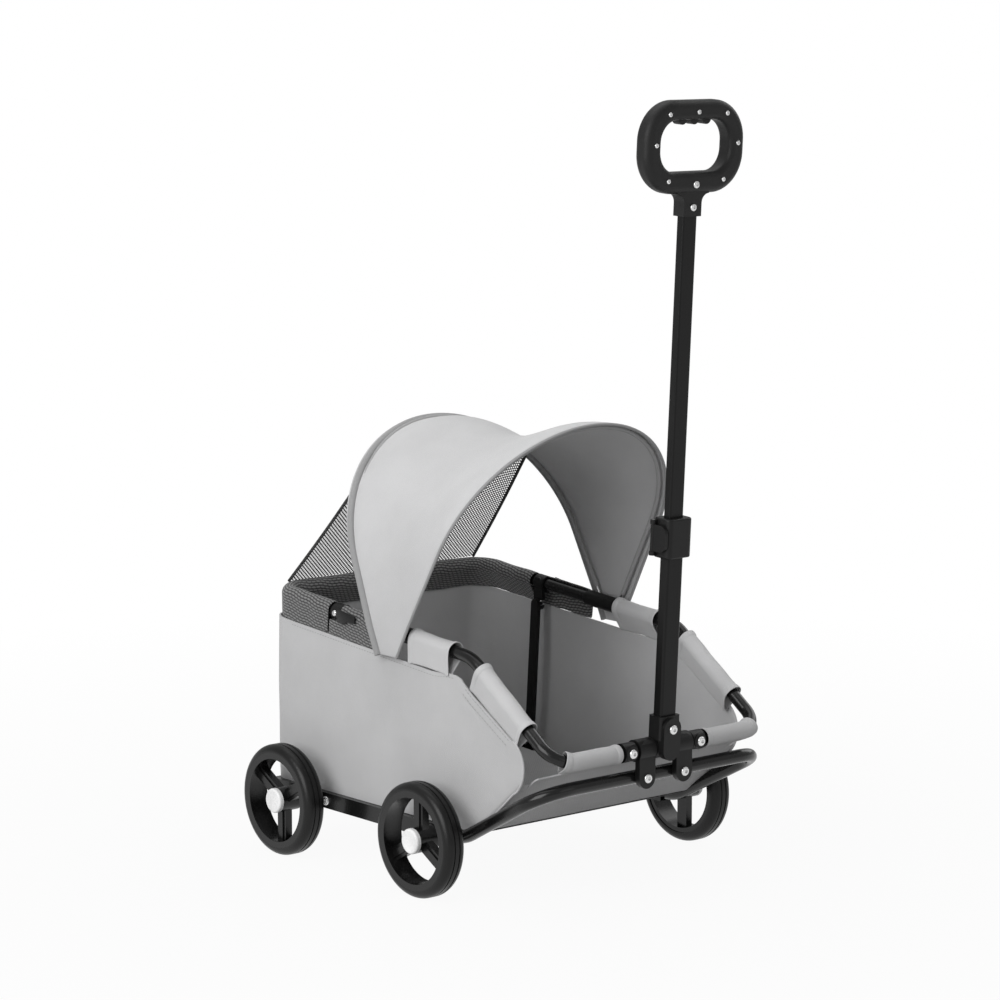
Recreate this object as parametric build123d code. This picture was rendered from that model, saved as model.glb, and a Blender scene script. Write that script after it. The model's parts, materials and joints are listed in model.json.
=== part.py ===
from build123d import *
import os
from math import acos, atan2, cos, degrees, hypot, radians, sin, tan

# Pet stroller, in millimetres. Front (pole end) is -Y, right is +X, up is +Z.
# While it is being built, Y = 0 is half way between the axles and the floor is Z = 0.

# Wheels and axles
WHEEL_DIAMETER = 127.0
WHEELBASE = 247.0
TRACK = 394.0
TYRE_WIDTH = 26.0
TYRE_DEPTH = 10.5
TYRE_CROWN_RADIUS = 8.5
TYRE_GROOVE_WIDTH = 1.6
TYRE_GROOVE_DEPTH = 0.8
RIM_RING_DEPTH = 5.5
RIM_FLANGE_HEIGHT = 1.6
RIM_FLANGE_WIDTH = 2.2
HUB_DIAMETER = 28.0
HUB_INNER_REACH = 16.0
HUB_OUTER_REACH = 10.0
HUB_POCKET_DIAMETER = 18.0
HUB_POCKET_DEPTH = 7.0
SPOKE_COUNT = 3
SPOKE_WIDTH = 15.0
SPOKE_THICKNESS = 9.0
SPOKE_RIB_WIDTH = 7.0
SPOKE_RIB_HEIGHT = 1.6
SPOKE_SETBACK = 3.0
CAP_THICKNESS = 4.5
CAP_DOME = 1.2
CAP_SKIRT_WALL = 1.0
CAP_SKIRT_LENGTH = 3.5
AXLE_DIAMETER = 8.0
SPACER_DIAMETER = 14.0
NUT_DIAMETER = 13.0
NUT_THICKNESS = 2.5

# Chassis
RAIL_SPACING = 312.0
RAIL_SIZE = 18.0
RAIL_WALL = 1.2
RAIL_REAR_Y = 186.0
RAIL_FRONT_Y = -134.0
RAIL_PLUG_HEAD = 3.0
RAIL_PLUG_LENGTH = 15.0
BUMPER_DIAMETER = 15.0
BUMPER_WALL = 1.2
BUMPER_HALF_WIDTH = 163.0
BUMPER_Y = -286.0
BUMPER_Z = 137.0
BUMPER_BEND_Y = -149.0
BUMPER_BEND_RADIUS = 55.0
BUMPER_CORNER_RADIUS = 38.0
BUMPER_INSERT_Y = -100.0
CROSSBAR_Y = 85.0
CROSSBAR_SIZE = 12.0
BOARD_THICKNESS = 4.0
BOARD_EDGE_GAP = 3.0
BOARD_FRONT_Y = -150.0
MAT_THICKNESS = 15.0
MAT_STRUT_GAP = 18.5
MAT_FRONT_Y = -148.0
MAT_REAR_Y = 176.0
MAT_CORNER_RADIUS = 30.0

# Rim tube and its lip
RIM_DIAMETER = 14.0
RIM_WALL = 1.2
RIM_HALF_WIDTH = 150.0
RIM_REAR_Y = 189.0
RIM_REAR_Z = 289.4
RIM_BEND_Y = -155.0
RIM_BEND_Z = 262.0
LIP_Y = -291.0
LIP_Z = 167.0
RIM_REAR_RADIUS = 27.0
RIM_BEND_RADIUS = 45.0
LIP_CORNER_RADIUS = 28.0
RIM_END_GAP = 1.0
COUPLER_LENGTH = 60.0

# Front hinge
COLLAR_X = 49.6
COLLAR_WIDTH = 17.0
COLLAR_RADIUS = 10.5
COLLAR_BOSS_RADIUS = 8.0
COLLAR_BOSS_REACH = 10.8
PLATE_X = 27.0
PLATE_WIDTH = 23.0
PLATE_BARREL_RADIUS = 12.0
PLATE_THICKNESS = 7.0
KNUCKLE_WIDTH = 29.0
KNUCKLE_LUG_WIDTH = 24.6
KNUCKLE_LUG_FRONT = 18.5
KNUCKLE_LUG_BACK = 9.5
KNUCKLE_SCREW_RISE = 22.0
SOCKET_BASE = 10.0
SOCKET_TOP = 36.0
SOCKET_WALL = 3.2

# Pole, clamp and grip
POLE_LEAN = 3.1
POLE_OFFSET = 4.5
LOWER_TUBE_WIDTH = 23.0
LOWER_TUBE_DEPTH = 13.5
LOWER_TUBE_CORNER = 3.0
LOWER_TUBE_WALL = 1.2
LOWER_TUBE_START = 14.0
UPPER_TUBE_WIDTH = 20.0
UPPER_TUBE_DEPTH = 10.5
UPPER_TUBE_CORNER = 2.2
UPPER_TUBE_WALL = 1.0
UPPER_TUBE_OVERLAP = 45.0
UPPER_TUBE_IN_GRIP = 22.0
CLAMP_START = 209.0
CLAMP_HEIGHT = 43.0
CLAMP_WIDTH = 35.0
CLAMP_DEPTH = 26.0
CLAMP_CORNER = 6.0
CLAMP_LIP = 2.4
LEVER_THICKNESS = 4.0
LEVER_HEIGHT = 29.0
LEVER_LENGTH = 21.0
LEVER_KNUCKLE_RADIUS = 2.6
LEVER_PIN_DIAMETER = 2.5
LEVER_PIN_Y = 9.0
LEVER_EAR_HEIGHT = 4.5
GRIP_NECK_START = 572.5
GRIP_NECK_HEIGHT = 24.0
GRIP_NECK_WIDTH = 25.0
GRIP_NECK_DEPTH = 16.0
GRIP_NECK_FLARE = 10.0
GRIP_WIDTH = 140.0
GRIP_HEIGHT = 97.0
GRIP_CORNER = 42.0
GRIP_DEPTH = 22.0
GRIP_SIDE_WIDTH = 21.0
GRIP_BAR_HEIGHT = 21.5
GRIP_HOLE_CORNER = 23.0
GRIP_HOLE_RISE = 1.0
GRIP_TOOTH_RADIUS = 6.5
GRIP_TOOTH_PITCH = 17.0
GRIP_TOOTH_COUNT = 3
GRIP_EDGE_RADIUS = 8.0
GRIP_HOLE_EDGE_RADIUS = 6.0

# Screws
SCREW_HEAD_DIAMETER = 10.5
SCREW_HEAD_HEIGHT = 3.2
SCREW_SHANK_DIAMETER = 6.0
SCREW_SOCKET_WIDTH = 4.0
CLIP_SCREW_HEAD_DIAMETER = 7.0
CLIP_SCREW_SHANK_DIAMETER = 4.0
GRIP_SCREW_HEAD_DIAMETER = 5.2
GRIP_SCREW_SHANK_DIAMETER = 2.6
GRIP_BOLT_HEAD_DIAMETER = 8.0
GRIP_BOLT_SHANK_DIAMETER = 4.0

# Struts between the rails and the rim
STRUT_RIM_OFFSET = 11.5
STRUT_THICKNESS = 5.0
STRUT_WIDTH = 12.0
STRUT_FOOT_Y = 85.0
STRUT_FOOT_RISE = 12.0
STRUT_TOP_Y = 74.0
STRUT_TOP_DROP = 24.0
STRUT_PIN_DIAMETER = 5.0
FOOT_EAR_THICKNESS = 3.0
FOOT_BASE_THICKNESS = 2.0
FOOT_LENGTH = 24.0
CLIP_RADIUS = 9.5
CLIP_LENGTH = 16.0
CLIP_LUG_THICKNESS = 4.5
CLIP_LUG_WIDTH = 15.0
CLIP_SLOT_ANGLE = 15.0

# Tub, sleeves and band
TUB_RIM_OVERHANG = 8.0
TUB_REAR_Y = 198.0
TUB_FLOOR_FRONT_Y = -172.0
TUB_NOSE_Y = -252.0
TUB_NOSE_Z = 143.0
TUB_REAR_RADIUS = 25.0
TUB_NOTCH_RADIUS = 36.0
CLOTH = 2.0
SLEEVE_DROP = 27.0
LIP_SLEEVE_DROP = 16.0
SLEEVE_HEM_RADIUS = 2.0
CUFF_FRONT_Y = -128.0
CUFF_REAR_Y = -58.0
SLOPE_SLEEVE_START = 20.0
SLOPE_SLEEVE_LENGTH = 94.0
LIP_SLEEVE_INNER_X = 62.0
LIP_SLEEVE_CORNER_GAP = 2.0
BAND_FRONT_Y = 90.0
BAND_END_GAP = 1.0

# Hood
BOW_DIAMETER = 3.6
REAR_BOW_Y = -16.0
REAR_BOW_LEAN = 26.5
REAR_BOW_HEIGHT = 240.0
BOW_ARCH_INSET = 6.5
FRONT_BOW_Y = -46.0
FRONT_BOW_LEAN = 30.0
FRONT_BOW_HEIGHT = 267.0
BOW_EYE_RADIUS = 5.0
BOW_EYE_THICKNESS = 4.4
BOW_STUD_DIAMETER = 5.0
BOW_STUD_HEAD_RADIUS = 4.0
BOW_STUD_HEAD_THICKNESS = 0.8
BOW_BRACKET_RADIUS = 9.0
BOW_BRACKET_OVERHANG = 9.0
HOOD_CLOTH = 1.5
HOOD_FAN_Y = -28.0
HOOD_FAN_Z = 218.0
HOOD_BOTTOM_Z = 247.0
HOOD_EDGE_OVERHANG = 3.0
HOOD_SAG = 17.0
HOOD_STATIONS = (0.0, 0.08, 0.22, 0.36, 0.5, 0.64, 0.78, 0.92, 1.0)
HOOD_WAIST_Z = 279.0
HOOD_SHOULDER_EASE = 3.0
NET_THICKNESS = 1.0
NET_ARC_START = 40.0
NET_CORNER_INSET = 12.0

# Clearances
RUNNING_CLEARANCE = 0.06
SLIDING_CLEARANCE = 0.3
SEAT_CLEARANCE = 0.1
HOLE_CLEARANCE = 0.1
AXIAL_CLEARANCE = 0.5
CLOTH_CLEARANCE = 0.3

# Places that follow from the sizes above
AXLE_Z = WHEEL_DIAMETER / 2
AXLE_Y = WHEELBASE / 2
WHEEL_X = TRACK / 2
RAIL_X = RAIL_SPACING / 2
RAIL_TOP = AXLE_Z + RAIL_SIZE / 2
TYRE_SEAT_RADIUS = WHEEL_DIAMETER / 2 - TYRE_DEPTH
BOARD_BOTTOM = RAIL_TOP + CLOTH
BOARD_TOP = BOARD_BOTTOM + BOARD_THICKNESS
STRUT_FOOT_Z = BOARD_TOP + STRUT_FOOT_RISE
STRUT_X = RIM_HALF_WIDTH - STRUT_RIM_OFFSET
MAT_HALF_WIDTH = STRUT_X - MAT_STRUT_GAP
TUB_HALF_WIDTH = RIM_HALF_WIDTH + TUB_RIM_OVERHANG
SLEEVE_REACH = TUB_RIM_OVERHANG - CLOTH / 2
LIP_SLEEVE_OUTER_X = RIM_HALF_WIDTH - LIP_CORNER_RADIUS - LIP_SLEEVE_CORNER_GAP
NET_REAR_HALF_WIDTH = RIM_HALF_WIDTH - NET_CORNER_INSET
RIM_SIDE_SLOPE = (RIM_REAR_Z - RIM_BEND_Z) / (RIM_REAR_Y - RIM_BEND_Y)
POLE_Y = -POLE_OFFSET
CLAMP_TOP = CLAMP_START + CLAMP_HEIGHT
LOWER_TUBE_END = CLAMP_TOP - CLAMP_LIP
UPPER_TUBE_START = CLAMP_TOP - UPPER_TUBE_OVERLAP
UPPER_TUBE_END = GRIP_NECK_START + UPPER_TUBE_IN_GRIP
GRIP_CENTRE_Z = GRIP_NECK_START + GRIP_NECK_HEIGHT + GRIP_HEIGHT / 2
GRIP_HOLE_WIDTH = GRIP_WIDTH - 2 * GRIP_SIDE_WIDTH
GRIP_HOLE_HEIGHT = GRIP_HEIGHT - 2 * GRIP_BAR_HEIGHT
BOW_X = RIM_HALF_WIDTH + BOW_BRACKET_RADIUS + CLOTH_CLEARANCE + BOW_EYE_THICKNESS / 2
BOW_ARCH_RADIUS = BOW_X - BOW_ARCH_INSET
BOW_STUD_END = BOW_X + BOW_EYE_THICKNESS / 2 + CLOTH_CLEARANCE + BOW_STUD_HEAD_THICKNESS
HOOD_INNER_X = BOW_STUD_END + CLOTH_CLEARANCE
HOOD_OUTER_X = HOOD_INNER_X + HOOD_CLOTH
SLEEVE_PLANE = Plane(origin=(0, 0, 0), x_dir=(1, 0, 0), z_dir=(0, -1, 0))
POLE_FRAME = Location((0, LIP_Y, LIP_Z), (POLE_LEAN, 0, 0))


def rim_side_z(y):
    """Height of the rim tube's centre line at the side of the tub."""
    return RIM_REAR_Z - (RIM_REAR_Y - y) * RIM_SIDE_SLOPE


def block(x0, x1, y0, y1, z0, z1):
    middle = Pos((x0 + x1) / 2, (y0 + y1) / 2, (z0 + z1) / 2)
    return middle * Box(abs(x1 - x0), abs(y1 - y0), abs(z1 - z0))


def rod_x(x0, x1, y, z, diameter):
    return Pos((x0 + x1) / 2, y, z) * Rot(0, 90, 0) * Cylinder(diameter / 2, abs(x1 - x0))


def rod_y(x, y0, y1, z, diameter):
    return Pos(x, (y0 + y1) / 2, z) * Rot(90, 0, 0) * Cylinder(diameter / 2, abs(y1 - y0))


def rod_z(x, y, z0, z1, diameter):
    return Pos(x, y, (z0 + z1) / 2) * Cylinder(diameter / 2, abs(z1 - z0))


def mirrored(solid):
    return mirror(solid, about=Plane.YZ)


def group(solids):
    """Separate solids that share one node."""
    return Compound([solid.solid() for solid in solids])


def both_sides(solid):
    return group([solid, mirrored(solid)])


def round_tube(points, radii, diameter, wall):
    path = FilletPolyline(*points, radius=radii)
    start = Plane(origin=path @ 0, z_dir=path % 0)
    ring = Circle(diameter / 2) - Circle(diameter / 2 - wall)
    return sweep(start * ring, path=path)


def ring_x(x0, x1, inner_radius, outer_radius):
    """A ring about the X axis."""
    length = abs(x1 - x0)
    ring = Cylinder(outer_radius, length) - Cylinder(inner_radius, length)
    return Pos((x0 + x1) / 2, 0, 0) * Rot(0, 90, 0) * ring


def button_screw(head_diameter, head_height, shank_diameter, shank_length, socket_width):
    """A screw along Z with the underside of its head at Z = 0."""
    head = Pos(0, 0, head_height / 2) * Cylinder(head_diameter / 2, head_height)
    head = fillet(head.edges().sort_by(Axis.Z)[-1], head_height * 0.75)
    socket = extrude(RegularPolygon(socket_width / 2, 6, major_radius=False), head_height)
    head -= Pos(0, 0, head_height * 0.4) * socket
    shank = Pos(0, 0, -shank_length / 2) * Cylinder(shank_diameter / 2, shank_length)
    return head + shank


def place_screw(screw, point, direction):
    return Plane(origin=point, z_dir=direction).location * screw


def link_shape(radius, rise):
    """A flat link with two round ends, one at the origin and one above it."""
    return make_hull((Circle(radius) + Pos(0, rise) * Circle(radius)).edges())


def drop_section(outer_radius, hem_radius, drop, reach):
    """A closed loop that hangs from a tube, pinched at a hem that lies reach to one side."""
    hem = Pos(reach, -drop + hem_radius) * Circle(hem_radius)
    return make_hull(Circle(outer_radius).edges() + hem.edges())


def sleeve_section(drop, reach):
    tube_radius = RIM_DIAMETER / 2
    inner_radius = tube_radius + CLOTH_CLEARANCE
    outer = drop_section(inner_radius + CLOTH, SLEEVE_HEM_RADIUS, drop, reach)
    inner = drop_section(inner_radius, SLEEVE_HEM_RADIUS / 3, drop - CLOTH, reach)
    return outer - inner


def skirt_section(drop, reach):
    """The outer half of a sleeve alone: from the top of the tube over its outer side and down."""
    inner = RIM_DIAMETER / 2 + CLOTH_CLEARANCE
    outer = inner + CLOTH
    half_turn = cos(radians(45))
    hem = reach + CLOTH / 2
    lines = [
        ThreePointArc((0, outer), (outer * half_turn, outer * half_turn), (outer, 0)),
        Line((outer, 0), (hem, -drop)),
        Line((hem, -drop), (hem - CLOTH, -drop)),
        Line((hem - CLOTH, -drop), (inner, 0)),
        ThreePointArc((inner, 0), (inner * half_turn, inner * half_turn), (0, inner)),
        Line((0, inner), (0, outer)),
    ]
    return make_face([line.edge() for line in lines])


# Wheels, built round the X axis with the outer side towards +X
def make_tyre():
    half = TYRE_WIDTH / 2
    outer_radius = WHEEL_DIAMETER / 2
    section = Pos(0, outer_radius - TYRE_DEPTH / 2) * Rectangle(TYRE_WIDTH, TYRE_DEPTH)
    crown = section.vertices().group_by(Axis.Y)[-1]
    section = fillet(crown, TYRE_CROWN_RADIUS)
    groove = Rectangle(TYRE_GROOVE_WIDTH, 2 * TYRE_GROOVE_DEPTH)
    for side in (-1, 1):
        section -= Pos(side * TYRE_WIDTH / 8, outer_radius) * groove
    flange_seat = Rectangle(RIM_FLANGE_WIDTH * 2, RIM_FLANGE_HEIGHT * 2)
    section -= Pos(half, TYRE_SEAT_RADIUS) * flange_seat
    return revolve(section, axis=Axis.X)


def make_wheel(first_spoke):
    half = TYRE_WIDTH / 2
    ring_inner = TYRE_SEAT_RADIUS - RIM_RING_DEPTH
    ring = ring_x(1 - half, half, ring_inner, TYRE_SEAT_RADIUS)
    flange = ring_x(half - RIM_FLANGE_WIDTH, half, ring_inner, TYRE_SEAT_RADIUS + RIM_FLANGE_HEIGHT)
    hub = rod_x(-HUB_INNER_REACH, HUB_OUTER_REACH, 0, 0, HUB_DIAMETER)
    wheel = ring + flange + hub
    spoke_end = ring_inner + RIM_RING_DEPTH / 2
    back = SPOKE_SETBACK - SPOKE_THICKNESS
    spoke = block(back, SPOKE_SETBACK, -SPOKE_WIDTH / 2, SPOKE_WIDTH / 2, 0, spoke_end)
    rib_end = SPOKE_SETBACK + SPOKE_RIB_HEIGHT
    spoke += block(back, rib_end, -SPOKE_RIB_WIDTH / 2, SPOKE_RIB_WIDTH / 2, 0, spoke_end)
    for index in range(SPOKE_COUNT):
        wheel += Rot(first_spoke + index * 360 / SPOKE_COUNT, 0, 0) * spoke
    bore = AXLE_DIAMETER + 2 * RUNNING_CLEARANCE
    wheel -= rod_x(-HUB_INNER_REACH, HUB_OUTER_REACH, 0, 0, bore)
    wheel -= rod_x(HUB_OUTER_REACH - HUB_POCKET_DEPTH, HUB_OUTER_REACH, 0, 0, HUB_POCKET_DIAMETER)
    return wheel


def make_cap():
    face = HUB_OUTER_REACH + CAP_THICKNESS
    cap = rod_x(HUB_OUTER_REACH, face + CAP_DOME, 0, 0, HUB_DIAMETER)
    cap = fillet(cap.edges().sort_by(Axis.X)[-1], CAP_DOME * 2)
    skirt_radius = HUB_POCKET_DIAMETER / 2 - SEAT_CLEARANCE
    skirt_end = HUB_OUTER_REACH - CAP_SKIRT_LENGTH
    return cap + ring_x(skirt_end, HUB_OUTER_REACH, skirt_radius - CAP_SKIRT_WALL, skirt_radius)


def wheel_nodes():
    # One spoke of each wheel is turned to where the photo shows it
    corners = {
        "fl": (-1, -AXLE_Y, 0),
        "fr": (1, -AXLE_Y, 180),
        "rl": (-1, AXLE_Y, 180),
        "rr": (1, AXLE_Y, 60),
    }
    nodes = {}
    for corner, (side, y, spoke_angle) in corners.items():
        for name, solid in (
            ("tyre", make_tyre()),
            ("wheel", make_wheel(spoke_angle)),
            ("cap", make_cap()),
        ):
            solid = Pos(WHEEL_X, y, AXLE_Z) * solid
            nodes[f"{name}_{corner}"] = mirrored(solid) if side < 0 else solid
    return nodes


# Chassis
def axle_hole(y):
    return rod_x(-WHEEL_X, WHEEL_X, y, AXLE_Z, AXLE_DIAMETER + 2 * HOLE_CLEARANCE)


def bumper_path_tube(diameter, wall):
    right = [
        (RAIL_X, BUMPER_INSERT_Y, AXLE_Z),
        (RAIL_X, BUMPER_BEND_Y, AXLE_Z),
        (BUMPER_HALF_WIDTH, BUMPER_Y, BUMPER_Z),
    ]
    left = [(-x, y, z) for x, y, z in reversed(right)]
    radii = [BUMPER_BEND_RADIUS, BUMPER_CORNER_RADIUS, BUMPER_CORNER_RADIUS, BUMPER_BEND_RADIUS]
    return round_tube(right + left, radii, diameter, wall)


def chassis_nodes():
    half = RAIL_SIZE / 2
    hollow = half - RAIL_WALL
    rail_x0, rail_x1 = RAIL_X - half, RAIL_X + half
    rail = block(rail_x0, rail_x1, RAIL_FRONT_Y, RAIL_REAR_Y, AXLE_Z - half, AXLE_Z + half)
    rail -= block(
        RAIL_X - hollow, RAIL_X + hollow, RAIL_FRONT_Y, RAIL_REAR_Y, AXLE_Z - hollow, AXLE_Z + hollow
    )
    screw_hole = SCREW_SHANK_DIAMETER + 2 * HOLE_CLEARANCE
    for side in (-1, 1):
        rail -= axle_hole(side * AXLE_Y)
        rail -= rod_x(rail_x0, rail_x1, side * CROSSBAR_Y, AXLE_Z, screw_hole)

    plug = block(
        rail_x0, rail_x1, RAIL_REAR_Y, RAIL_REAR_Y + RAIL_PLUG_HEAD, AXLE_Z - half, AXLE_Z + half
    )
    stem = hollow - SEAT_CLEARANCE
    plug += block(
        RAIL_X - stem,
        RAIL_X + stem,
        RAIL_REAR_Y - RAIL_PLUG_LENGTH,
        RAIL_REAR_Y,
        AXLE_Z - stem,
        AXLE_Z + stem,
    )

    bumper = bumper_path_tube(BUMPER_DIAMETER, BUMPER_WALL)
    bumper -= axle_hole(-AXLE_Y)
    bumper_front = BUMPER_Y - BUMPER_DIAMETER / 2
    for side in (-1, 1):
        bumper -= rod_y(side * PLATE_X, bumper_front - 1, BUMPER_Y, BUMPER_Z, screw_hole)

    bar_half = CROSSBAR_SIZE / 2
    bar = block(-rail_x0, rail_x0, -bar_half, bar_half, AXLE_Z - bar_half, AXLE_Z + bar_half)
    bar -= rod_x(-rail_x0, rail_x0, 0, AXLE_Z, screw_hole)
    crossbars = group(Pos(0, side * CROSSBAR_Y, 0) * bar for side in (-1, 1))

    axle_end = WHEEL_X + HUB_OUTER_REACH - 1
    axles = group(
        rod_x(-axle_end, axle_end, side * AXLE_Y, AXLE_Z, AXLE_DIAMETER) for side in (-1, 1)
    )
    hub_inner_x = WHEEL_X - HUB_INNER_REACH
    axle_bore = AXLE_DIAMETER / 2 + HOLE_CLEARANCE
    spacer = ring_x(rail_x1, hub_inner_x - AXIAL_CLEARANCE, axle_bore, SPACER_DIAMETER / 2)
    nut_x = WHEEL_X + HUB_OUTER_REACH - HUB_POCKET_DEPTH + AXIAL_CLEARANCE
    nut = ring_x(nut_x, nut_x + NUT_THICKNESS, axle_bore, NUT_DIAMETER / 2)
    ends = [Pos(0, side * AXLE_Y, AXLE_Z) for side in (-1, 1)]
    spacers = [end * solid for end in ends for solid in (spacer, mirrored(spacer))]
    nuts = [end * solid for end in ends for solid in (nut, mirrored(nut))]

    rail_screw = button_screw(
        SCREW_HEAD_DIAMETER,
        SCREW_HEAD_HEIGHT,
        SCREW_SHANK_DIAMETER,
        RAIL_SIZE + CROSSBAR_SIZE,
        SCREW_SOCKET_WIDTH,
    )
    screws = []
    for side in (-1, 1):
        right = place_screw(rail_screw, (rail_x1, side * CROSSBAR_Y, AXLE_Z), (1, 0, 0))
        screws += [right, mirrored(right)]
    plate_front = bumper_front - PLATE_THICKNESS
    plate_screw = button_screw(
        SCREW_HEAD_DIAMETER,
        SCREW_HEAD_HEIGHT,
        SCREW_SHANK_DIAMETER,
        PLATE_THICKNESS + BUMPER_DIAMETER / 2,
        SCREW_SOCKET_WIDTH,
    )
    for side in (-1, 1):
        screws.append(place_screw(plate_screw, (side * PLATE_X, plate_front, BUMPER_Z), (0, -1, 0)))

    return {
        "rail_left": mirrored(rail),
        "rail_right": rail,
        "rail_plugs": both_sides(plug),
        "bumper_tube": bumper,
        "crossbars": crossbars,
        "axles": axles,
        "axle_spacers": group(spacers),
        "axle_nuts": group(nuts),
        "chassis_screws": group(screws),
        "hinge_plate_left": mirrored(make_hinge_plate()),
        "hinge_plate_right": make_hinge_plate(),
        "floor_board": make_floor_board(),
        "floor_mat": make_floor_mat(),
        "fabric_tub": make_tub(),
        "strut_feet": both_sides(make_strut_foot()),
        "strut_rivets": both_sides(make_strut_rivet()),
    }


def make_hinge_plate():
    """A link that turns on the lip and is screwed to the front of the bumper."""
    bumper_front = BUMPER_Y - BUMPER_DIAMETER / 2
    half = PLATE_WIDTH / 2
    barrel = rod_x(PLATE_X - half, PLATE_X + half, LIP_Y, LIP_Z, 2 * PLATE_BARREL_RADIUS)
    face = Plane(origin=(PLATE_X, bumper_front, BUMPER_Z), x_dir=(1, 0, 0), z_dir=(0, -1, 0))
    link = extrude(face * link_shape(half, LIP_Z - BUMPER_Z), PLATE_THICKNESS)
    plate = barrel + link
    bore = RIM_DIAMETER + 2 * RUNNING_CLEARANCE
    plate -= rod_x(PLATE_X - PLATE_WIDTH, PLATE_X + PLATE_WIDTH, LIP_Y, LIP_Z, bore)
    shank = SCREW_SHANK_DIAMETER + 2 * HOLE_CLEARANCE
    plate -= rod_y(PLATE_X, bumper_front - PLATE_THICKNESS, bumper_front, BUMPER_Z, shank)
    return plate


def make_floor_board():
    half = TUB_HALF_WIDTH - CLOTH - BOARD_EDGE_GAP
    rear = TUB_REAR_Y - CLOTH - BOARD_EDGE_GAP
    board = block(-half, half, BOARD_FRONT_Y, rear, BOARD_BOTTOM, BOARD_TOP)
    rear_corners = board.edges().filter_by(Axis.Z).group_by(Axis.Y)[-1]
    return fillet(rear_corners, TUB_REAR_RADIUS - CLOTH)


def make_floor_mat():
    """A stuffed mat: drawn in at the sides, with a crown on top."""
    middle_y = (MAT_FRONT_Y + MAT_REAR_Y) / 2
    length = MAT_REAR_Y - MAT_FRONT_Y
    sections = []
    for share, inset in ((0.0, 5.0), (0.3, 0.0), (0.65, 4.0), (0.88, 18.0), (1.0, 60.0)):
        place = Pos(0, middle_y, BOARD_TOP + share * MAT_THICKNESS)
        outline = RectangleRounded(
            2 * (MAT_HALF_WIDTH - inset), length - 2 * inset, MAT_CORNER_RADIUS - inset * 0.3
        )
        sections.append(place * outline)
    return loft(sections, ruled=True)


def tub_profile(inset, raised):
    """Side view of the tub as (y, z) points; the top edge may be raised to cut it open."""
    side_angle = atan2(RIM_REAR_Z - RIM_BEND_Z, RIM_REAR_Y - RIM_BEND_Y)
    slope_angle = atan2(RIM_BEND_Z - LIP_Z, RIM_BEND_Y - LIP_Y)
    drop = SLEEVE_DROP + CLOTH_CLEARANCE
    half_turn = (slope_angle - side_angle) / 2
    middle = (slope_angle + side_angle) / 2
    reach = drop / cos(half_turn)
    bend = (RIM_BEND_Y + reach * sin(middle), RIM_BEND_Z - reach * cos(middle))
    rear_z = rim_side_z(TUB_REAR_Y) - drop / cos(side_angle)
    lip_drop = LIP_SLEEVE_DROP + CLOTH_CLEARANCE
    lip = (LIP_Y + lip_drop * sin(slope_angle), LIP_Z - lip_drop * cos(slope_angle))
    nose_angle = atan2(TUB_NOSE_Z - RAIL_TOP, TUB_FLOOR_FRONT_Y - TUB_NOSE_Y)
    floor_front = TUB_FLOOR_FRONT_Y + inset * tan(nose_angle / 2)
    shift_y, shift_z = inset * sin(nose_angle), inset * cos(nose_angle)
    return [
        (TUB_REAR_Y - inset, RAIL_TOP + inset),
        (TUB_REAR_Y - inset, rear_z + raised),
        (bend[0], bend[1] + raised),
        (lip[0] + shift_y, lip[1] + shift_z / 2 + raised),
        (lip[0] + shift_y, lip[1] + shift_z / 2),
        (TUB_NOSE_Y + shift_y, TUB_NOSE_Z + shift_z),
        (floor_front, RAIL_TOP + inset),
    ]


def tub_block(inset, raised):
    points = tub_profile(inset, raised)
    if not raised:
        points.pop(3)
    side = Plane.YZ * make_face(Polyline(*points, close=True))
    half_width = TUB_HALF_WIDTH - inset
    solid = extrude(side, half_width, both=True)
    rear_edges = solid.edges().filter_by(Axis.Z).group_by(Axis.Y)[-1]
    return fillet(rear_edges, TUB_REAR_RADIUS - inset)


def make_tub():
    gap = BUMPER_DIAMETER + 2 * CLOTH_CLEARANCE
    tub = tub_block(0, 0) - tub_block(CLOTH, RIM_REAR_Z - LIP_Z) - bumper_path_tube(gap, gap * 0.4)
    for side in (-1, 1):
        tub -= rod_z(side * RIM_HALF_WIDTH, LIP_Y, TUB_NOSE_Z - CLOTH, LIP_Z, 2 * TUB_NOTCH_RADIUS)
    return max(tub.solids(), key=lambda solid: solid.volume)


# Struts, their feet on the floor board and their clips on the rim
def strut_top_z():
    return rim_side_z(STRUT_TOP_Y) - STRUT_TOP_DROP


def make_strut_foot():
    inner = STRUT_X - STRUT_THICKNESS / 2 - AXIAL_CLEARANCE
    outer = STRUT_X + STRUT_THICKNESS / 2 + AXIAL_CLEARANCE
    x0, x1 = inner - FOOT_EAR_THICKNESS, outer + FOOT_EAR_THICKNESS
    y0, y1 = STRUT_FOOT_Y - FOOT_LENGTH / 2, STRUT_FOOT_Y + FOOT_LENGTH / 2
    foot = block(x0, x1, y0, y1, BOARD_TOP, BOARD_TOP + FOOT_BASE_THICKNESS)
    ear_half = STRUT_WIDTH / 2
    for ear_x in (x0, outer):
        plane = Plane(origin=(ear_x, STRUT_FOOT_Y, BOARD_TOP), x_dir=(0, 1, 0), z_dir=(1, 0, 0))
        ear = make_hull(
            (
                Pos(0, STRUT_FOOT_RISE) * Circle(ear_half)
                + Pos(0, FOOT_BASE_THICKNESS / 2) * Rectangle(FOOT_LENGTH, FOOT_BASE_THICKNESS)
            ).edges()
        )
        foot += extrude(plane * ear, FOOT_EAR_THICKNESS)
    rivet_hole = STRUT_PIN_DIAMETER + 2 * HOLE_CLEARANCE
    return foot - rod_x(x0, x1, STRUT_FOOT_Y, STRUT_FOOT_Z, rivet_hole)


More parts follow.
